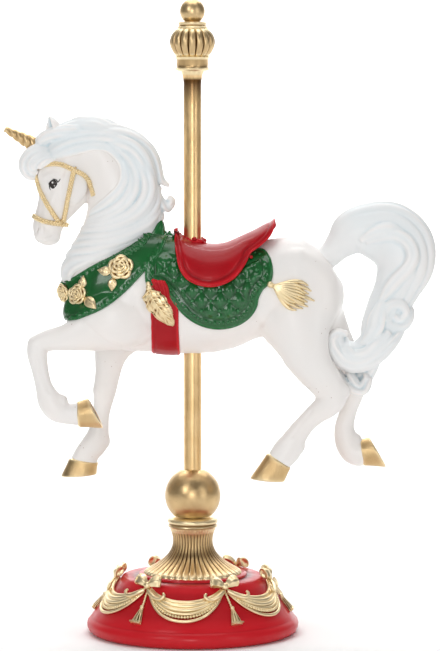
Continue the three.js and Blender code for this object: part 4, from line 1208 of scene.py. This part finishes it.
def make_horn():
    base, tip = posed([(-33.6, 0, 46.8), (-42.4, 0, 51.5)])
    across = np.array([0, 1, 0])
    up = np.cross(unit(tip - base), across)
    t = np.linspace(0, 1, 70)
    radius = 1.9 * (1 - t) ** 0.9 + 0.75
    paths = []
    for k in range(3):
        turn = 2 * math.pi * (k / 3 + 1.9 * t)
        ring = (np.cos(turn) * radius)[:, None] * across + (np.sin(turn) * radius)[:, None] * up
        paths.append(np.column_stack([base + t[:, None] * (tip - base) + ring, radius * 0.85 + 0.2]))
    horn = tubes("horn", paths, 4)
    melt(horn, 0.3, 2)
    finish(horn, "horn", gold_paint(), "gold_paint", "horse", recess=(0.3, 5))


def make_ears():
    pieces = []
    for side in SIDES:
        stations = posed([(-30.2, side * 1.8, 48.5, 1.1, 1.0), (-31.0, side * 2.5, 50.6, 1.7, 1.2),
                          (-31.7, side * 2.9, 52.6, 1.4, 1), (-32.3, side * 2.8, 54.2, 0.35, 0.3)])
        ear = limb(stations, 32, 24)
        places = coordinates(ear)
        risen = places[:, 2] - stations[0, 2]
        out = places - curve_through(stations[:, :3], np.clip(risen / (stations[-1, 2] - stations[0, 2]),
                                                              0, 1))
        # The hollow faces forwards and outwards
        towards = unit(np.array([-0.75, side * 0.66, 0]))
        reach = out[:, :2] @ towards[:2]
        aside = out[:, 1] * towards[0] - out[:, 0] * towards[1]
        front = np.clip(reach / 2.6, 0, 1) * np.clip(1 - np.abs(aside) / 2.4, 0, 1)
        move_to(ear, places - towards * (3.6 * front * np.clip(risen / 5, 0, 1))[:, None])
        pieces.append(ear)
    finish(join("ears", pieces), "ears", hair_paint(), "hair_paint", "horse", recess=(0.3, 6))


def make_eyes():
    skin = Skin(horse_form())
    black, white = [], []
    for side in SIDES:
        (x, z), = posed_flat([(-31.3, 39.2)])
        place, facing = skin.flank(x, z, side)
        ahead = np.array([-1, 0, 0.15])
        forward = unit(ahead - facing * (ahead @ facing))
        up = unit(np.cross(facing, forward))
        up = up if up[2] > 0 else -up
        ball = lump((0, 0, 0), (2.35, 0.7, 2.5))
        spots = coordinates(ball)
        spots[:, 2] *= 1 - 0.35 * (spots[:, 0] / 2.15) ** 2
        move_to(ball, place + spots[:, :1] * forward + spots[:, 1:2] * facing + spots[:, 2:] * up)
        black.append(ball)
        # Painted highlights: two white dots on each eye
        for reach, rise, radius in ((0.3, 0.8, 0.5), (-0.9, -0.7, 0.3)):
            white.append(lump(place + forward * reach + up * rise + facing * 0.55, (radius, 0.4, radius)))
        lashes = []
        for lash in LASHES:
            line = []
            for t, (along, rise) in zip(np.linspace(0, 1, 8), curve_through(lash, 8)):
                spot, out = skin.flank(*(place + forward * along + up * rise)[[0, 2]], side)
                line.append((*(spot + out * 0.1), 0.34 - 0.2 * t))
            lashes.append(line)
        black.append(tubes("lashes", lashes, 1))
    finish(join("eyes", black), "eyes", eye_paint(), "eye_paint", "horse", recess=(0.3, 1))
    finish(join("eye_glints", white), "eye_glints", white_paint(), "white_paint", "horse", recess=(0.3, 1))


def plait(places, facings, half, thick, pitch):
    """Three strands plaited along a path."""
    length = np.concatenate([[0], np.cumsum(np.linalg.norm(np.diff(places, axis=0), axis=1))])
    across = unit(np.cross(np.gradient(places, axis=0), facings))
    paths = []
    for k in range(3):
        turn = 2 * math.pi * (length / pitch + k / 3)
        out = thick * (0.7 + 0.75 * np.sin(2 * turn))
        spot = places + across * (half * np.sin(turn))[:, None] + facings * out[:, None]
        paths.append(np.column_stack([spot, np.full(len(spot), thick)]))
    return paths


def make_bridle():
    skin = Skin(horse_form())
    paths, bosses = [], []
    for side in SIDES:
        for path in BRIDLE.values():
            places, facings = skin.laid(even(curve_through(posed_flat(path), 40), 0.3), side, 0.25, 8)
            paths += plait(places, facings, 0.85, 0.56, 4.2)
        for x, z, radius in ((-26.6, 42.3, 1.5), (-30, 30.5, 1.3), (-35, 42.4, 1.1)):
            (px, pz), = posed_flat([(x, z)])
            place, facing = skin.flank(px, pz, side)
            middle = place + facing * 0.6
            bosses.append(lump(middle, (radius, radius * 0.6, radius)))
            for turn in np.linspace(0, 2 * math.pi, 6, endpoint=False):
                rim = np.array([math.cos(turn), 0, math.sin(turn)]) * radius
                bosses.append(lump(middle + rim, (0.6, 0.6, 0.6)))
    bridle = join("bridle", [tubes("straps", paths, 1), *bosses])
    finish(bridle, "bridle", gold_paint(), "gold_paint", "horse", recess=(0.2, 2))


# What the horse wears
def nearest_on(loop, spots):
    """The nearest place on a closed outline to each of some places (x, z)."""
    best = np.full(len(spots), 1e9)
    out = spots.copy()
    for near in along_lines(np.vstack([loop, loop[:1]]), spots):
        distance = np.hypot(*(spots - near).T)
        better = distance < best
        best[better] = distance[better]
        out[better] = near[better]
    return out


def inside(spots, loop):
    """How far places (x, z) are inside a closed outline, in mm: less than 0 outside it."""
    crossings = np.zeros(len(spots), bool)
    for a, b in zip(loop, np.roll(loop, -1, axis=0)):
        over = (a[1] > spots[:, 1]) != (b[1] > spots[:, 1])
        if over.any():
            share = (spots[:, 1] - a[1]) / (b[1] - a[1] + 1e-12)
            crossings ^= over & (spots[:, 0] < a[0] + share * (b[0] - a[0]))
    distance = np.hypot(*(spots - nearest_on(loop, spots)).T)
    return np.where(crossings, distance, -distance)


def loops_of(faces):
    """The closed boundary loops of some faces, as lists of vertices."""
    edges = {(a, b): True for face in faces for a, b in zip(face, (*face[1:], face[0]))}
    following = {a: b for a, b in edges if (b, a) not in edges}
    loops = []
    while following:
        start, at = following.popitem()
        loop = [start]
        while at != start and at in following:
            loop.append(at)
            at = following.pop(at)
        loops.append(loop)
    return [loop for loop in loops if len(loop) > 12]


def worn(name, outline, height):
    """A skin cut from the horse's form inside an outline and raised by height(depth inside it, places).

    Gives the piece and the places of its rims."""
    form = horse_form()
    places = coordinates(form)
    facing = normals(form)
    loop = closed_curve(posed_flat(outline))
    near = np.all((places[:, [0, 2]] > loop.min(0) - 2) & (places[:, [0, 2]] < loop.max(0) + 2), axis=1)
    depth = np.full(len(places), -9.0)
    depth[near] = inside(places[near][:, [0, 2]], loop)
    corners = np.empty(len(form.data.loops), int)
    form.data.loops.foreach_get("vertex_index", corners)
    faces = corners.reshape(-1, 4)
    faces = faces[(depth[faces].mean(1) > 0) & near[faces].all(1)]
    used = np.unique(faces)
    renamed = np.full(len(places), -1)
    renamed[used] = np.arange(len(used))
    faces = renamed[faces]
    spots, out, depth = places[used], facing[used], depth[used]
    rims = loops_of(faces.tolist())
    on_rim = np.concatenate(rims)
    spots[np.ix_(on_rim, [0, 2])] = nearest_on(loop, spots[on_rim][:, [0, 2]])
    depth[on_rim] = 0
    for rim in rims:
        for _ in range(3):
            spots[rim] = (np.roll(spots[rim], 1, 0) + 2 * spots[rim] + np.roll(spots[rim], -1, 0)) / 4
    raised = spots + out * height(np.maximum(depth, 0), spots)[:, None]
    piece = from_faces(name, raised, faces)
    thicken(piece, 1.8)
    return piece, [raised[rim] for rim in rims]


def rise(depth, width):
    """0 on an outline, up to 1 this far inside it."""
    return np.clip(depth / width, 0, 1) ** 0.5


def make_cloth():
    thick = sizes().cloth_thickness
    across, down = 4.7, 5.1  # half the spacing of the studs in a row, and from row to row

    def height(depth, places):
        x, _, z = places.T
        u, v = x / across, (z - BELLY_HEIGHT) / down
        pillow = np.abs(np.sin(math.pi * (u + v) / 2) * np.sin(math.pi * (u - v) / 2)) ** 1.15
        field = np.clip((depth - 5.2) / 1.6, 0, 1)
        ruffle = 0.25 * np.cos(2 * math.pi * (x * 0.9 + z * 0.9) / 3.6) * hump(depth, 2.9, 1.0)
        band = -0.5 * hump(depth, 4.7, 0.5) - 0.3 * hump(depth, 1.3, 0.4)
        low = np.clip((posed_height(24) - z) / 6, 0, 1)  # all relief fades out under the saddle
        level = thick * (0.45 + 0.55 * rise(depth, 1.2)) * (0.5 + 0.5 * low)
        return level + (band + ruffle + 1.5 * pillow * field) * low

    cloth, rims = worn("saddle_cloth", SADDLE_CLOTH, height)
    skin = Skin(cloth)
    parts = [cloth] + [ring_tube("lip", rim, 0.5) for rim in rims]
    outline = closed_curve(posed_flat(SADDLE_CLOTH))
    seat = closed_curve(posed_flat(SADDLE_EDGE + SADDLE_TOP[::-1]))
    middle = posed_flat([(3.5, 17)])[0]
    spots, stud_sizes = [], []
    for side in SIDES:
        for row in range(-4, 11):
            for column in range(-20 + row % 2, 20, 2):
                point = np.array([[column * across, row * down + BELLY_HEIGHT]])
                if inside(point, outline)[0] > 5.6 and inside(point, seat)[0] < -1:
                    place, facing = skin.flank(*point[0], side)
                    spots.append(place + facing * 0.25)
                    stud_sizes.append(1.05)
        for point in even(closed_curve(posed_flat(SADDLE_CLOTH), 400), 2.6, closed=True):
            if point[1] < posed_height(25.5) and inside(point[None], seat)[0] < -1:
                spots.append(skin.flank(*(point + unit(middle - point) * 2.9), side)[0])
                stud_sizes.append(0.7)
    parts.append(scattered("studs", lump((0, 0, 0), (1, 1, 1)), 0.2, spots, stud_sizes))
    finish(join("saddle_cloth", parts), "saddle_cloth", green_paint(), "green_paint", "horse")


def make_saddle():
    """One shell from edge to edge over the horse's back, with a rolled edge."""
    body = Skin(horse_form(), bpy.data.objects["saddle_cloth"])
    rows, columns = 110, 96
    t = np.linspace(0, 1, rows)
    edge = curve_through(posed_flat(SADDLE_EDGE), t)
    top = curve_through(posed_flat(SADDLE_TOP), t)
    top[:, 1] += 1.2 * np.sin(math.pi * t) ** 0.5
    # Half width at the edge: narrow at the pommel and the cantle, and clear of the flank between
    seat_width = np.interp(t, [0, 0.04, 0.12, 0.3, 0.6, 0.8, 0.9, 0.95, 0.98, 1],
                           [5, 7.4, 10.3, 15, 18, 17.5, 15, 12.8, 10.6, 8])
    half = np.array([
        max(1.7 - body.flank(x, z, -1)[0][1] if z < posed_height(25.2) else 0, least)
        for (x, z), least in zip(edge, seat_width)])
    for _ in range(4):
        half[1:-1] = (half[:-2] + 2 * half[1:-1] + half[2:]) / 4
    angle = np.linspace(-math.pi / 2, math.pi / 2, columns)
    drop = 1 - np.cos(angle) ** 0.9
    grid = np.zeros((rows, columns, 3))
    grid[:, :, 0] = top[:, :1] + (edge - top)[:, :1] * drop
    grid[:, :, 1] = np.sign(angle) * np.abs(np.sin(angle)) ** 0.92 * half[:, None]
    grid[:, :, 2] = top[:, 1:] + (edge - top)[:, 1:] * drop
    least = np.zeros((rows, columns))
    for i in range(rows):
        for j in range(columns):
            x, y, z = grid[i, j]
            if z < posed_height(24.2) and abs(y) > 6:
                place, _ = body.flank(x, z, 1 if y > 0 else -1)
                least[i, j] = abs(place[1]) + 1.3
    for _ in range(4):
        width = grid[:, :, 1]
        grid[:, :, 1] = np.sign(width) * np.maximum(np.abs(width), least)
        for _ in range(10):
            inner = grid[1:-1, 1:-1]
            grid[1:-1, 1:-1] = (inner * 4 + grid[:-2, 1:-1] + grid[2:, 1:-1] + grid[1:-1, :-2] +
                                grid[1:-1, 2:]) / 8
    rim = np.vstack([grid[0], grid[1:, -1], grid[-1, -2::-1], grid[-2:0:-1, 0]])
    flat = grid.reshape(-1, 3)
    corners = [(i * columns + j, i * columns + j + 1, (i + 1) * columns + j + 1, (i + 1) * columns + j)
               for i in range(rows - 1) for j in range(columns - 1)]
    shell = face_outwards(from_faces("saddle", flat, corners))
    facing = normals(shell)
    if facing[(rows // 2) * columns + columns // 2][2] < 0:
        shell.data.flip_normals()
        facing = -facing
    to_rim = np.min([np.linalg.norm(flat - spot, axis=1) for spot in rim[::2]], axis=0)
    from_end = np.repeat(np.minimum(np.arange(rows), np.arange(rows)[::-1]), columns)
    lift = np.clip((from_end - 2) / 8, 0, 1) * (0.3 * hump(to_rim, 0, 1.4) - 0.5 * hump(to_rim, 2.7, 0.7))
    move_to(shell, flat + facing * lift[:, None])
    thicken(shell, 1.5)
    saddle = join("saddle", [shell, ring_tube("edge", even(rim, 0.8, closed=True), 0.6, 3)])
    finish(saddle, "saddle", red_paint(), "red_paint", "horse", recess=(0.3, 4))


def make_pole_seat():
    """The knobbly ring where the pole enters the saddle, and the berries at its pommel and cantle."""
    seat = posed_height(26.1)
    ring = [(math.cos(a) * 5.7, math.sin(a) * 5.7, seat + 0.5 * math.sin(5 * a) - 0.6 * math.cos(a))
            for a in np.linspace(0, 2 * math.pi, 30, endpoint=False)]
    knobs = [ring_tube("ring", ring, 1.5, 3)]
    for a in np.linspace(0, 2 * math.pi, 9, endpoint=False):
        height = seat + 1.0 + 0.6 * math.sin(3 * a) - 0.6 * math.cos(a)
        knobs.append(lump((math.cos(a) * 6, math.sin(a) * 6, height), (1.4, 1.4, 1.2)))
    for side in SIDES:
        for x, y, z, radius in ((-2.9, 1.2, 27.6, 0.45), (-2.0, 2.4, 27.0, 0.5), (13.2, 7.8, 23.0, 0.4)):
            knobs.append(lump(posed([(x, side * y, z)])[0], [radius * SHARE] * 3))
    finish(join("pole_seat", knobs), "pole_seat", red_paint(), "red_paint", "horse", recess=(0.3, 2))


def make_collar():
    thick = sizes().collar_thickness

    def height(depth, places):
        ruffle = 0.22 * np.sin(places[:, 0] * 1.7 + places[:, 2] * 0.6) * hump(depth, 1.2, 1.1)
        return thick * (0.35 + 0.65 * rise(depth, 2.4)) - 0.22 * hump(depth, 2.2, 0.5) + ruffle

    collar, rims = worn("collar", COLLAR, height)
    parts = [collar] + [ring_tube("edge", rim, 0.5) for rim in rims]
    # Ruffled leaves along the upper edge, up to the peak behind the mane
    skin = Skin(collar, horse_form())
    crest = curve_through(posed_flat([(-17.6, 22.2), (-15.0, 23.4), (-12.4, 25.0), (-10.6, 26.6),
                                      (-9.2, 28.6)]), 19)
    for side in SIDES:
        for k, (x, z) in enumerate(crest):
            place, facing = skin.flank(x, z, side)
            reach = 2.1 + 0.7 * math.sin(2.4 * k) + 0.04 * k
            ahead = unit(np.array([-0.75 + 0.4 * math.sin(1.9 * k), 0, 0.8]))
            line = place + np.linspace(-0.6, 1, 6)[:, None] * ahead * reach + facing * (0.35 + 0.2 * (k % 2))
            half_depth, half_width = [0.8, 1.2, 1.35, 1.15, 0.7, 0.15], [0.6, 0.75, 0.75, 0.6, 0.4, 0.15]
            parts.append(limb(np.column_stack([line, half_depth, half_width]), 14, 10, facing))
        peak = posed([(-8.9, side * 3.0, 25.2, 2.1, 0.9), (-8.2, side * 3.0, 27.5, 2.2, 0.9),
                      (-7.5, side * 2.6, 29.5, 1.3, 0.7), (-7.1, side * 2.2, 31.1, 0.25, 0.2)])
        parts.append(limb(peak, 28, 20, carve=hair(6, 0.3)))
        for x, z, tall in ((-6.2, 27.6, 1.3), (-5.0, 27.3, 1.1), (-10.6, 27.3, 1.4)):
            leaf = posed([(x, side * 2.4, z - 1, 0.7, 0.4), (x - 0.1, side * 2.4, z, 0.8, 0.4),
                          (x - 0.3, side * 2.2, z + tall, 0.15, 0.15)])
            parts.append(limb(leaf, 14, 10))
    finish(join("collar", parts), "collar", green_paint(), "green_paint", "horse")


def make_girth():
    thick = sizes().girth_thickness

    def height(depth, places):
        wave = 0.18 * np.sin(places[:, 2] * 1.1) * np.exp(-depth)
        return thick * (0.4 + 0.6 * rise(depth, 0.8)) - 0.25 * hump(depth, 1.8, 0.5) + wave

    parts = [worn("girth", GIRTH, height)[0]]
    skin = Skin(bpy.data.objects["saddle_cloth"], horse_form())
    for side in SIDES:  # the crimped patch above the front tassel
        for k in range(5):
            fold = [(-8.8 + 0.6 * k, 18.0 - 0.1 * k), (-8.0 + 0.6 * k, 15.8),
                    (-7.2 + 0.5 * k, 13.4 - 0.2 * k)]
            places, facings = skin.laid(curve_through(posed_flat(fold), 8), side, 0.35, 3)
            stations = np.column_stack([places, np.full(8, 0.95), np.full(8, 0.9)])
            parts.append(limb(stations, 16, 12, facings[3]))
    finish(join("girth", parts), "girth", red_paint(), "red_paint", "horse")


# The roses, leaves and tassels: each gives its solid parts, and the paths of its thin tubes
def rose(place, facing, radius):
    along = unit(np.cross(facing, (0, 0, 1)))
    up = np.cross(along, facing)
    heart = lump((0, 0, 0), (1, 1, 1))
    ball = coordinates(heart)
    move_to(heart, place + radius * (ball[:, :1] * along * 0.96 + ball[:, 1:2] * up * 0.96 + ball[:, 2:] *
                                     facing * 0.42))
    # Curled petal edges, ring inside ring
    paths = []
    thin_ends = 0.45 + 0.55 * np.cos(np.linspace(-1.4, 1.4, 9))
    for count, out, lift, start, thick in ((5, 0.86, 0.16, 0.2, 0.17), (5, 0.62, 0.31, 0.8, 0.15),
                                           (4, 0.4, 0.4, 0.1, 0.13), (3, 0.2, 0.44, 0.9, 0.12),
                                           (1, 0.04, 0.44, 0, 0.12)):
        for k in range(count):
            arc = np.linspace(-0.62, 0.62, 9) * 2 * math.pi / max(count, 3)
            turn = start + 2 * math.pi * k / count + arc
            reach = radius * (out + 0.08 * np.cos(arc * count / 1.3) + 0.06 * np.linspace(-1, 1, 9))
            ring = np.cos(turn)[:, None] * along + np.sin(turn)[:, None] * up
            spot = place + ring * reach[:, None] + facing * radius * lift
            paths.append(np.column_stack([spot, radius * thick * thin_ends]))
    return [heart], paths


def leaf(skin, middle, length, slope, side):
    slope = math.radians(slope)
    reach = np.array([math.cos(slope), math.sin(slope)]) * length * SHARE
    places, facings = skin.laid(np.array([middle + reach * k for k in np.linspace(-1, 1, 9)]), side, 0.5)
    width = np.array([0.4, 1.2, 2.0, 2.3, 2.35, 2.0, 1.5, 0.85, 0.15]) * length * 0.7
    blade = limb(np.column_stack([places, width, width * 0.3]), 24, 16, facings[4], hair(6, 0.22))
    across = unit(np.cross(unit(places[-1] - places[0]), facings[4]))
    paths = [np.column_stack([places + facings * (width * 0.24)[:, None], np.full(9, 0.34)])]
    for at in (1, 3, 5):
        for turn in (-1, 1):
            start = places[at] + facings[at] * (width[at] * 0.24)
            end = places[at + 2] + across * turn * width[at + 2] * 0.9 + facings[at] * 0.1
            paths.append([(*start, 0.3), (*((start + end) / 2 + facings[at] * 0.15), 0.34), (*end, 0.2)])
    return [blade], paths


def front_tassel(skin, side):
    """A knot, then a broad veined leaf."""
    count = 24
    line = curve_through(posed_flat([(-9.6, 16.2), (-8.9, 14.2), (-6.7, 11.2), (-4.2, 7.8)]), count)
    places, facings = skin.laid(line, side, 1.0, 6)
    width = np.interp(np.linspace(0, 1, count), [0, 0.12, 0.3, 0.55, 0.8, 1], [1.2, 2.2, 5.0, 5.8, 4.2, 0.5])
    width = width * (1 + 0.06 * np.sin(np.linspace(0, 9 * math.pi, count)))
    blade = np.column_stack([places, width, width * 0.3])
    parts = [limb(blade, 64, 40, unit(facings.mean(0)), hair(11, 0.14))]
    paths = [np.column_stack([places + facings * (width * 0.28)[:, None], np.linspace(0.6, 0.25, count)])]
    for at in range(3, 21, 2):
        across = unit(np.cross(unit(places[min(at + 2, count - 1)] - places[at]), facings[at]))
        last = min(at + 4, count - 1)
        for turn in (-1, 1):
            start = places[at] + facings[at] * (width[at] * 0.28)
            end = places[last] + across * turn * width[last] + facings[at] * 0.1
            middle = (start + end) / 2 + facings[at] * 0.25 + across * turn * 0.3
            vein = curve_through([start, middle, end], 6)
            paths.append(np.column_stack([vein, [0.34, 0.4, 0.42, 0.4, 0.32, 0.15]]))
    for reach, size in ((0, 1.7), (1.9, 1.25)):
        knot = places[0] + facings[0] * 0.5 + np.array([-0.2 * reach, 0, reach])
        parts.append(lump(knot, (size, size * 0.8, size)))
    return parts, paths


def rear_tassel(skin, side):
    """A knot, then strands that fan out."""
    line = curve_through(posed_flat([(17.4, 16.9), (19.4, 15.9), (22.6, 14.4), (26.4, 13.1)]), 24)
    places, facings = skin.laid(line, side, 0.7, 6)
    out = unit(facings.mean(0))
    ahead = unit(places[-1] - places[0])
    across = unit(np.cross(ahead, out))
    t = np.linspace(0, 1, 10)
    thick = 0.5 + 0.75 * np.sin(math.pi * (0.1 + 0.75 * t)) - 0.5 * t**4
    paths = []
    for k, spread in enumerate(np.linspace(-1, 1, 8)):
        for layer in (0, 1):
            reach = (21.5 - 4.5 * abs(spread) ** 1.5 - 3 * layer) * (1 + 0.08 * math.sin(2.6 * k + layer))
            bend = across * (spread * 7.4 * np.sin(t * 1.9) ** 1.3)[:, None]
            spot = places[0] + ahead * (1.5 + reach * t)[:, None] + bend * (1 - 0.3 * layer)
            fit = skin.laid(spot[:, [0, 2]], side)[0]
            spot[:, 1] = fit[:, 1] + side * (0.6 + layer * 0.9) * (1 - 0.4 * t)
            paths.append(np.column_stack([spot, thick]))
    parts = [lump(places[0] + ahead * reach + out * 0.4, (size, size * 0.9, size))
             for reach, size in ((0, 1.6), (1.6, 1.2))]
    return parts, paths


def make_gilt():
    skin = Skin(bpy.data.objects["collar"], horse_form())
    body = Skin(bpy.data.objects["saddle_cloth"], horse_form())
    gilt = []
    for side in SIDES:
        for x, z, radius in ROSES:
            gilt.append(rose(*skin.flank(*posed_flat([(x, z)])[0], side), radius * SHARE))
        for x, z, length, slope in LEAVES:
            gilt.append(leaf(skin, posed_flat([(x, z)])[0], length, slope, side))
        gilt += [front_tassel(body, side), rear_tassel(body, side)]
    parts = [part for group, _ in gilt for part in group]
    paths = [path for _, group in gilt for path in group]
    whole = join("gilt_flowers_and_tassels", [tubes("edges", paths, 2), *parts])
    finish(whole, "gilt_flowers_and_tassels", gold_paint(), "gold_paint", "horse", recess=(0.11, 5))


class CAROUSEL_OT_stage(Operator):
    """Make the floor, the lights and the camera"""
    bl_idname = "carousel.stage"
    bl_label = "Stage"

    def execute(self, context):
        make_stage()
        return {"FINISHED"}


class CAROUSEL_OT_base(Operator):
    """Make the round red base with its gilt swags"""
    bl_idname = "carousel.base"
    bl_label = "Base"

    def execute(self, context):
        make_base()
        return {"FINISHED"}


class CAROUSEL_OT_pedestal(Operator):
    """Make the fluted pedestal"""
    bl_idname = "carousel.pedestal"
    bl_label = "Pedestal"

    def execute(self, context):
        make_pedestal()
        return {"FINISHED"}


class CAROUSEL_OT_ball(Operator):
    """Make the ball under the pole"""
    bl_idname = "carousel.ball"
    bl_label = "Ball"

    def execute(self, context):
        make_ball()
        return {"FINISHED"}


class CAROUSEL_OT_pole(Operator):
    """Make the pole"""
    bl_idname = "carousel.pole"
    bl_label = "Pole"

    def execute(self, context):
        make_pole()
        return {"FINISHED"}


class CAROUSEL_OT_finial(Operator):
    """Make the finial"""
    bl_idname = "carousel.finial"
    bl_label = "Finial"

    def execute(self, context):
        make_finial()
        return {"FINISHED"}


class CAROUSEL_OT_body(Operator):
    """Make the horse's body and head"""
    bl_idname = "carousel.body"
    bl_label = "Body"

    def execute(self, context):
        make_body()
        return {"FINISHED"}


class CAROUSEL_OT_hooves(Operator):
    """Make the gilt hooves"""
    bl_idname = "carousel.hooves"
    bl_label = "Hooves"

    def execute(self, context):
        make_hooves()
        return {"FINISHED"}


class CAROUSEL_OT_mane(Operator):
    """Make the mane and the forelock"""
    bl_idname = "carousel.mane"
    bl_label = "Mane"

    def execute(self, context):
        make_mane()
        return {"FINISHED"}


class CAROUSEL_OT_tail(Operator):
    """Make the tail"""
    bl_idname = "carousel.tail"
    bl_label = "Tail"

    def execute(self, context):
        make_tail()
        return {"FINISHED"}


class CAROUSEL_OT_horn(Operator):
    """Make the horn"""
    bl_idname = "carousel.horn"
    bl_label = "Horn"

    def execute(self, context):
        make_horn()
        return {"FINISHED"}


class CAROUSEL_OT_ears(Operator):
    """Make the ears"""
    bl_idname = "carousel.ears"
    bl_label = "Ears"

    def execute(self, context):
        make_ears()
        return {"FINISHED"}


class CAROUSEL_OT_eyes(Operator):
    """Make the eyes"""
    bl_idname = "carousel.eyes"
    bl_label = "Eyes"

    def execute(self, context):
        make_eyes()
        return {"FINISHED"}


class CAROUSEL_OT_bridle(Operator):
    """Make the plaited bridle"""
    bl_idname = "carousel.bridle"
    bl_label = "Bridle"

    def execute(self, context):
        make_bridle()
        return {"FINISHED"}


class CAROUSEL_OT_cloth(Operator):
    """Make the quilted saddle cloth"""
    bl_idname = "carousel.cloth"
    bl_label = "Cloth"

    def execute(self, context):
        make_cloth()
        return {"FINISHED"}


class CAROUSEL_OT_saddle(Operator):
    """Make the saddle, and the ring where the pole enters it"""
    bl_idname = "carousel.saddle"
    bl_label = "Saddle"

    def execute(self, context):
        make_saddle()
        make_pole_seat()
        return {"FINISHED"}


class CAROUSEL_OT_collar(Operator):
    """Make the collar"""
    bl_idname = "carousel.collar"
    bl_label = "Collar"

    def execute(self, context):
        make_collar()
        return {"FINISHED"}


class CAROUSEL_OT_girth(Operator):
    """Make the girth"""
    bl_idname = "carousel.girth"
    bl_label = "Girth"

    def execute(self, context):
        make_girth()
        return {"FINISHED"}


class CAROUSEL_OT_gilt(Operator):
    """Make the roses, the leaves and the tassels"""
    bl_idname = "carousel.gilt"
    bl_label = "Gilt"

    def execute(self, context):
        make_gilt()
        return {"FINISHED"}


OPERATORS = [
    CAROUSEL_OT_stage, CAROUSEL_OT_base, CAROUSEL_OT_pedestal, CAROUSEL_OT_ball, CAROUSEL_OT_pole,
    CAROUSEL_OT_finial, CAROUSEL_OT_body, CAROUSEL_OT_hooves, CAROUSEL_OT_mane, CAROUSEL_OT_tail,
    CAROUSEL_OT_horn, CAROUSEL_OT_ears, CAROUSEL_OT_eyes, CAROUSEL_OT_bridle, CAROUSEL_OT_cloth,
    CAROUSEL_OT_saddle, CAROUSEL_OT_collar, CAROUSEL_OT_girth, CAROUSEL_OT_gilt,
]


class CAROUSEL_PT_panel(Panel):
    """Lists the figurine's pieces"""
    bl_label = "Carousel Unicorn"
    bl_idname = "CAROUSEL_PT_panel"
    bl_space_type = "VIEW_3D"
    bl_region_type = "UI"
    bl_category = "Carousel"

    def draw(self, context):
        for button in OPERATORS:
            self.layout.operator(button.bl_idname)
        for values in (sizes(), colours()):
            for name in values.__annotations__:
                self.layout.prop(values, name)


CLASSES = [UnicornSizes, UnicornColours, *OPERATORS, CAROUSEL_PT_panel]


def register():
    for item in CLASSES:
        bpy.utils.register_class(item)
    bpy.types.Scene.unicorn_sizes = PointerProperty(type=UnicornSizes)
    bpy.types.Scene.unicorn_colours = PointerProperty(type=UnicornColours)


def unregister():
    del bpy.types.Scene.unicorn_colours
    del bpy.types.Scene.unicorn_sizes
    for item in reversed(CLASSES):
        bpy.utils.unregister_class(item)


def main():
    register()
    bpy.ops.carousel.stage()
    bpy.ops.carousel.base()
    bpy.ops.carousel.pedestal()
    bpy.ops.carousel.ball()
    bpy.ops.carousel.pole()
    bpy.ops.carousel.finial()
    bpy.ops.carousel.body()
    bpy.ops.carousel.hooves()
    bpy.ops.carousel.mane()
    bpy.ops.carousel.tail()
    bpy.ops.carousel.horn()
    bpy.ops.carousel.ears()
    bpy.ops.carousel.eyes()
    bpy.ops.carousel.bridle()
    bpy.ops.carousel.cloth()
    bpy.ops.carousel.saddle()
    bpy.ops.carousel.collar()
    bpy.ops.carousel.girth()
    bpy.ops.carousel.gilt()
    bpy.data.objects.remove(horse_form())


if __name__ == "__main__":
    main()
